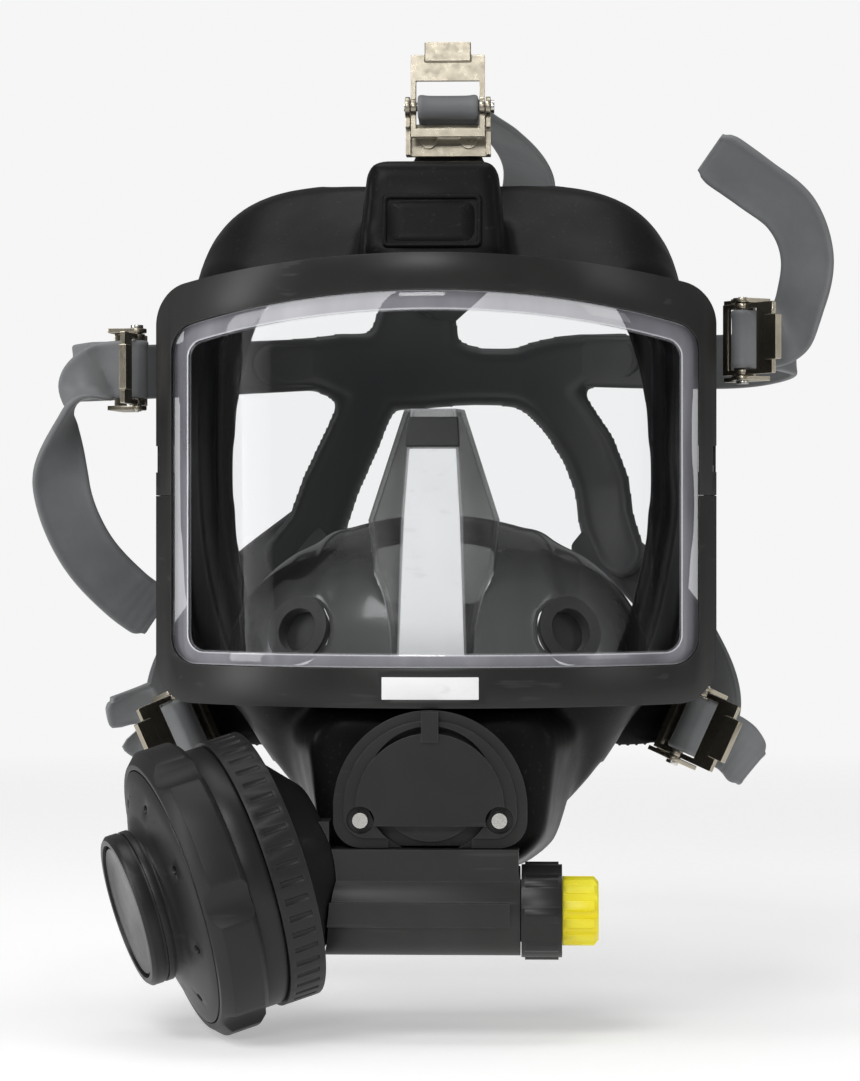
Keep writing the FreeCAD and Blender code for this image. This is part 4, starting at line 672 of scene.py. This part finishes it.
def strap_route(name):
    """Stations from the harness, round the buckle's pin, out to the loose end."""
    centre, across = pin_of(name)
    away = Vector(LEAVING[name]).normalized()
    up = across.cross(away).normalized()
    away = up.cross(across).normalized()

    def local(y, z):
        return centre + away * y + up * z, across

    fold = []
    for step in range(9):
        angle = math.radians(-90 + 22.5 * step)
        fold.append(local(-FOLD_RADIUS * math.cos(angle), FOLD_RADIUS * math.sin(angle)))
    run = [local(LEAD_IN, -FOLD_RADIUS)]
    tail = [local(LEAD_OUT, FOLD_RADIUS)]
    if name == "top":
        run = [local(6, FOLD_RADIUS)]
        tail = [local(6, -FOLD_RADIUS)]
        fold.reverse()
    run += [(Vector(place), Vector(width)) for place, width in RUNS[name]]
    tail += [(Vector(place), Vector(width)) for place, width in TAILS[name]]
    return list(reversed(curve_through(run, 8))) + fold + curve_through(tail, 8)


def strap_section(swell):
    """Half widths and heights round one cross-section: beads at both edges, a thinner web."""
    half = STRAP_WIDTH / 2
    edge = STRAP_THICKNESS / 2 + swell / 2
    web = STRAP_WEB / 2 + swell / 2
    upper = [(half, edge * 0.45), (half - 0.35, edge * 0.85), (half - 0.9, edge),
             (half - STRAP_BEAD, edge), (half - STRAP_BEAD - 0.6, web)]
    top = upper + [(0, web)] + [(-x, z) for x, z in reversed(upper)]
    return top + [(-x, -z) for x, z in top]


def strap_rings(stations):
    lengths = [0]
    for (a, _), (b, _) in zip(stations, stations[1:]):
        lengths.append(lengths[-1] + (b - a).length)
    rings = []
    for i, (place, across) in enumerate(stations):
        before = stations[max(i - 1, 0)][0]
        after = stations[min(i + 1, len(stations) - 1)][0]
        along = (after - before).normalized()
        normal = along.cross(across).normalized()
        side = normal.cross(along).normalized()
        left = lengths[-1] - lengths[i]
        swell = TIP_SWELL * tip_shape(left)
        narrow = 1 - 0.22 * bell(left, 3.5)
        rings.append([(place + side * x * narrow + normal * z) * MM for x, z in strap_section(swell)])
    return rings


def tip_shape(left):
    """Thickness of the pull tab along its length, with grip ridges."""
    if left > TIP_LENGTH:
        return 0
    ramp = min(1, (TIP_LENGTH - left) / 2)
    return ramp * (0.7 + 0.3 * math.cos(left * 2 * math.pi / 3)) * min(1, 0.3 + left / 2)


def add_strap(name):
    stations = strap_route(name)
    tip = stations[-1][0] - stations[-2][0]
    start = stations[-2][0]
    closing = [(start + tip * step / TIP_PARTS, stations[-1][1]) for step in range(1, TIP_PARTS + 1)]
    strap = loft("moulded_strap_" + name, strap_rings(stations[:-1] + closing), "strap_rubber")
    soften = strap.modifiers.new("soft corners", "SUBSURF")
    soften.levels = 1
    soften.render_levels = 1
    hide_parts("strap_" + name)
    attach(strap, "mask")


# ---------------------------------------------------------------- forehead badge

def rounded_rectangle(half_width, half_height, corner, arc_steps=5):
    points = []
    for quadrant in range(4):
        x_sign = (1, -1, -1, 1)[quadrant]
        z_sign = (1, 1, -1, -1)[quadrant]
        for step in range(arc_steps):
            angle = math.pi / 2 * (quadrant + step / (arc_steps - 1))
            points.append((x_sign * (half_width - corner) + corner * math.cos(angle),
                           z_sign * (half_height - corner) + corner * math.sin(angle)))
    return points


def badge_frame_point(across, up, proud):
    """A point on the forehead block's leaning front face, in metres."""
    lean = BLOCK_LEAN
    front = BLOCK_FRONT + (BADGE_HEIGHT - BLOCK_FOOT) * math.tan(lean)
    return Vector((across, front + up * math.sin(lean) - proud * math.cos(lean),
                   BADGE_HEIGHT + up * math.cos(lean) + proud * math.sin(lean))) * MM


def add_badge():
    """A raised border and a blank inner field on the forehead block."""
    rings = []
    for half_width, half_height, corner, proud in (
            (14.6, 8.1, 1.6, -0.6), (14.6, 8.1, 1.6, 0.5), (14.2, 7.7, 1.4, 0.8),
            (13.6, 7.1, 1.2, 0.8), (13.2, 6.7, 1.0, 0.4), (13.1, 6.6, 1.0, -1.6)):
        outline = rounded_rectangle(half_width, half_height, corner)
        rings.append([badge_frame_point(x, z, proud) for x, z in outline])
    border = tube_of_rings("forehead_badge_border", rings, "skirt_rubber")
    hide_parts("face_skirt")
    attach(border, "mask")
    field = []
    for half_width, half_height, corner, proud in (
            (12.9, 6.4, 0.9, -1.8), (12.9, 6.4, 0.9, -0.7), (12.4, 5.9, 0.8, -0.4),
            (8, 3.5, 0.5, -0.35)):
        outline = rounded_rectangle(half_width, half_height, corner)
        field.append([badge_frame_point(x, z, proud) for x, z in outline])
    plate = loft("forehead_badge_field", field, "skirt_rubber")
    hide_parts("face_skirt")
    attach(plate, "mask")


def tube_of_rings(name, rings, slot):
    """A skin through rings that closes back on the first one."""
    count = len(rings[0])
    vertices = [point for ring in rings for point in ring]
    faces = []
    for i in range(len(rings)):
        low, high = i * count, ((i + 1) % len(rings)) * count
        for j in range(count):
            k = (j + 1) % count
            faces.append((low + j, low + k, high + k, high + j))
    return new_piece(name, vertices, faces, slot)


# ---------------------------------------------------------------- carried-over CAD nodes

EDGE_ROUND = {
    "visor": 0.5, "frame_upper": 0.8, "frame_lower": 0.8, "exhaust_cover": 0.35, "port_body": 0.5,
    "valve_body": 0.5, "inlet_nut": 0.6, "dust_plug": 0.5, "regulator_case": 0.5,
    "front_cover": 0.4, "mode_ring": 0.7, "clamp_ring": 0.3, "purge_button": 0.4,
    "nose_bridge": 0.9, "nose_clip": 0.5, "nose_strip": 0.15, "name_plate": 0.2,
}
SMALL_ROUND = 0.25

# Nodes that wear a darker finish than their slot's.
DARKER = {"check_valve_seats": "valve_rubber"}

# Each spring: the joint that shortens it, and by how many millimetres.
SPRINGS = {"button_spring": ("purge_press", 4), "exhaust_spring": ("exhaust_open", 2),
           "poppet_spring": ("poppet_stroke", 2.5)}


def dress_nodes():
    """Give every shown CAD node its finish and rounded edges."""
    for name, node in frame["nodes"].items():
        slot = node.data.materials[0].name
        node.material_slots[0].link = "OBJECT"
        slot = slot.split(".")[0]
        node.material_slots[0].material = PALETTE[DARKER.get(name, slot)]
        if name in SPRINGS:
            continue
        weld = node.modifiers.new("weld", "WELD")
        weld.merge_threshold = 1e-6
        rounding = node.modifiers.new("rounded edges", "BEVEL")
        rounding.width = EDGE_ROUND.get(name, SMALL_ROUND) * MM
        rounding.segments = 2
        rounding.limit_method = "ANGLE"
        rounding.angle_limit = math.radians(35)


def add_springs():
    """Springs carried over as copies of their CAD coils, attached to the mask."""
    for name, (moved_by, travel) in SPRINGS.items():
        node = frame["nodes"][name]
        slot = node.data.materials[0].name.split(".")[0]
        coil = piece_from_mesh("coil_" + name, node.data.copy(), slot)
        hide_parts(name)
        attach(coil, "mask")
        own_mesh(coil)


# ---------------------------------------------------------------- studio

def make_camera():
    turn = math.radians(VIEW_AZIMUTH)
    back = Vector((math.sin(turn), -math.cos(turn), 0))
    right = Vector((math.cos(turn), math.sin(turn), 0))
    data = bpy.data.cameras.new("camera")
    data.sensor_width = SENSOR
    data.lens = LENS
    data.clip_start = 0.05
    data.clip_end = 20
    camera = bpy.data.objects.new("camera", data)
    camera.location = back * CAMERA_DISTANCE - right * CAMERA_LEFT + Vector((0, 0, CAMERA_HEIGHT))
    camera.rotation_euler = (-back).to_track_quat("-Z", "Y").to_euler()
    bpy.context.scene.collection.objects.link(camera)
    bpy.context.scene.camera = camera


def soft_light(name, place, aim, width, height, power):
    data = bpy.data.lights.new(name, "AREA")
    data.shape = "RECTANGLE"
    data.size = width
    data.size_y = height
    data.energy = power
    light = bpy.data.objects.new(name, data)
    light.location = place
    light.rotation_euler = (Vector(aim) - Vector(place)).to_track_quat("-Z", "Y").to_euler()
    bpy.context.scene.collection.objects.link(light)


def make_world():
    """A white backdrop that lights the object less than it shows."""
    world = bpy.data.worlds.new("studio")
    bpy.context.scene.world = world
    world.use_nodes = True
    nodes, links = world.node_tree.nodes, world.node_tree.links
    dim = nodes["Background"]
    dim.inputs["Color"].default_value = (1, 1, 1, 1)
    dim.inputs["Strength"].default_value = AMBIENT
    shown = nodes.new("ShaderNodeBackground")
    shown.inputs["Color"].default_value = (1, 1, 1, 1)
    shown.inputs["Strength"].default_value = BACKDROP
    path = nodes.new("ShaderNodeLightPath")
    mix = nodes.new("ShaderNodeMixShader")
    links.new(path.outputs["Is Camera Ray"], mix.inputs[0])
    links.new(dim.outputs[0], mix.inputs[1])
    links.new(shown.outputs[0], mix.inputs[2])
    links.new(mix.outputs[0], nodes["World Output"].inputs["Surface"])


def make_floor():
    """A round pale floor that melts into the background at its rim."""
    low = cad_box[0]
    steps = 64
    edge = []
    for step in range(steps):
        angle = 2 * math.pi * step / steps
        edge.append((FLOOR_RADIUS * math.cos(angle), FLOOR_RADIUS * math.sin(angle),
                     low.z - FLOOR_DROP))
    mesh = bpy.data.meshes.new("floor")
    mesh.from_pydata(edge, [], [tuple(range(steps))])
    floor = bpy.data.objects.new("floor", mesh)
    bpy.context.scene.collection.objects.link(floor)
    tree = Tree("pale_floor")
    speckle = tree.spread(tree.noise(300, 3), 0.3, 0.7)
    tree.set(Base_Color=tree.blend(speckle, (0.76, 0.76, 0.76, 1), (0.8, 0.8, 0.8, 1)))
    tree.set(Roughness=0.8, Specular_IOR_Level=0.1)
    tree.set(Emission_Color=(1, 1, 1, 1), Emission_Strength=FLOOR_GLOW)
    clear = tree.add("ShaderNodeBsdfTransparent", {}).outputs[0]
    fade = tree.spread(tree.radius(), *FLOOR_FADE)
    mesh.materials.append(tree.finish(tree.layer(fade, tree.shader.outputs[0], clear)))


def make_studio():
    bpy.context.scene.view_settings.view_transform = "Standard"
    make_camera()
    make_world()
    make_floor()
    soft_light("key", (-0.5, -1.2, 1.3), (0, 0, 0.02), 0.8, 0.6, 11)
    soft_light("front", (-0.15, -1.7, 0.6), (0, 0, 0.02), 0.5, 0.3, 5)
    soft_light("left", (-1.5, -0.5, 0.3), (0, 0, 0), 0.4, 1.2, 8)
    soft_light("fill", (1.4, -0.7, 0.5), (0, 0, 0), 0.5, 1.0, 2.8)
    soft_light("top", (0, 0.1, 1.4), (0, 0, 0), 1.2, 0.8, 7)


dress_nodes()
add_skirt()
add_cup()
add_harness_plate()
for strap_name in RUNS:
    add_strap(strap_name)
add_badge()
add_springs()
make_studio()
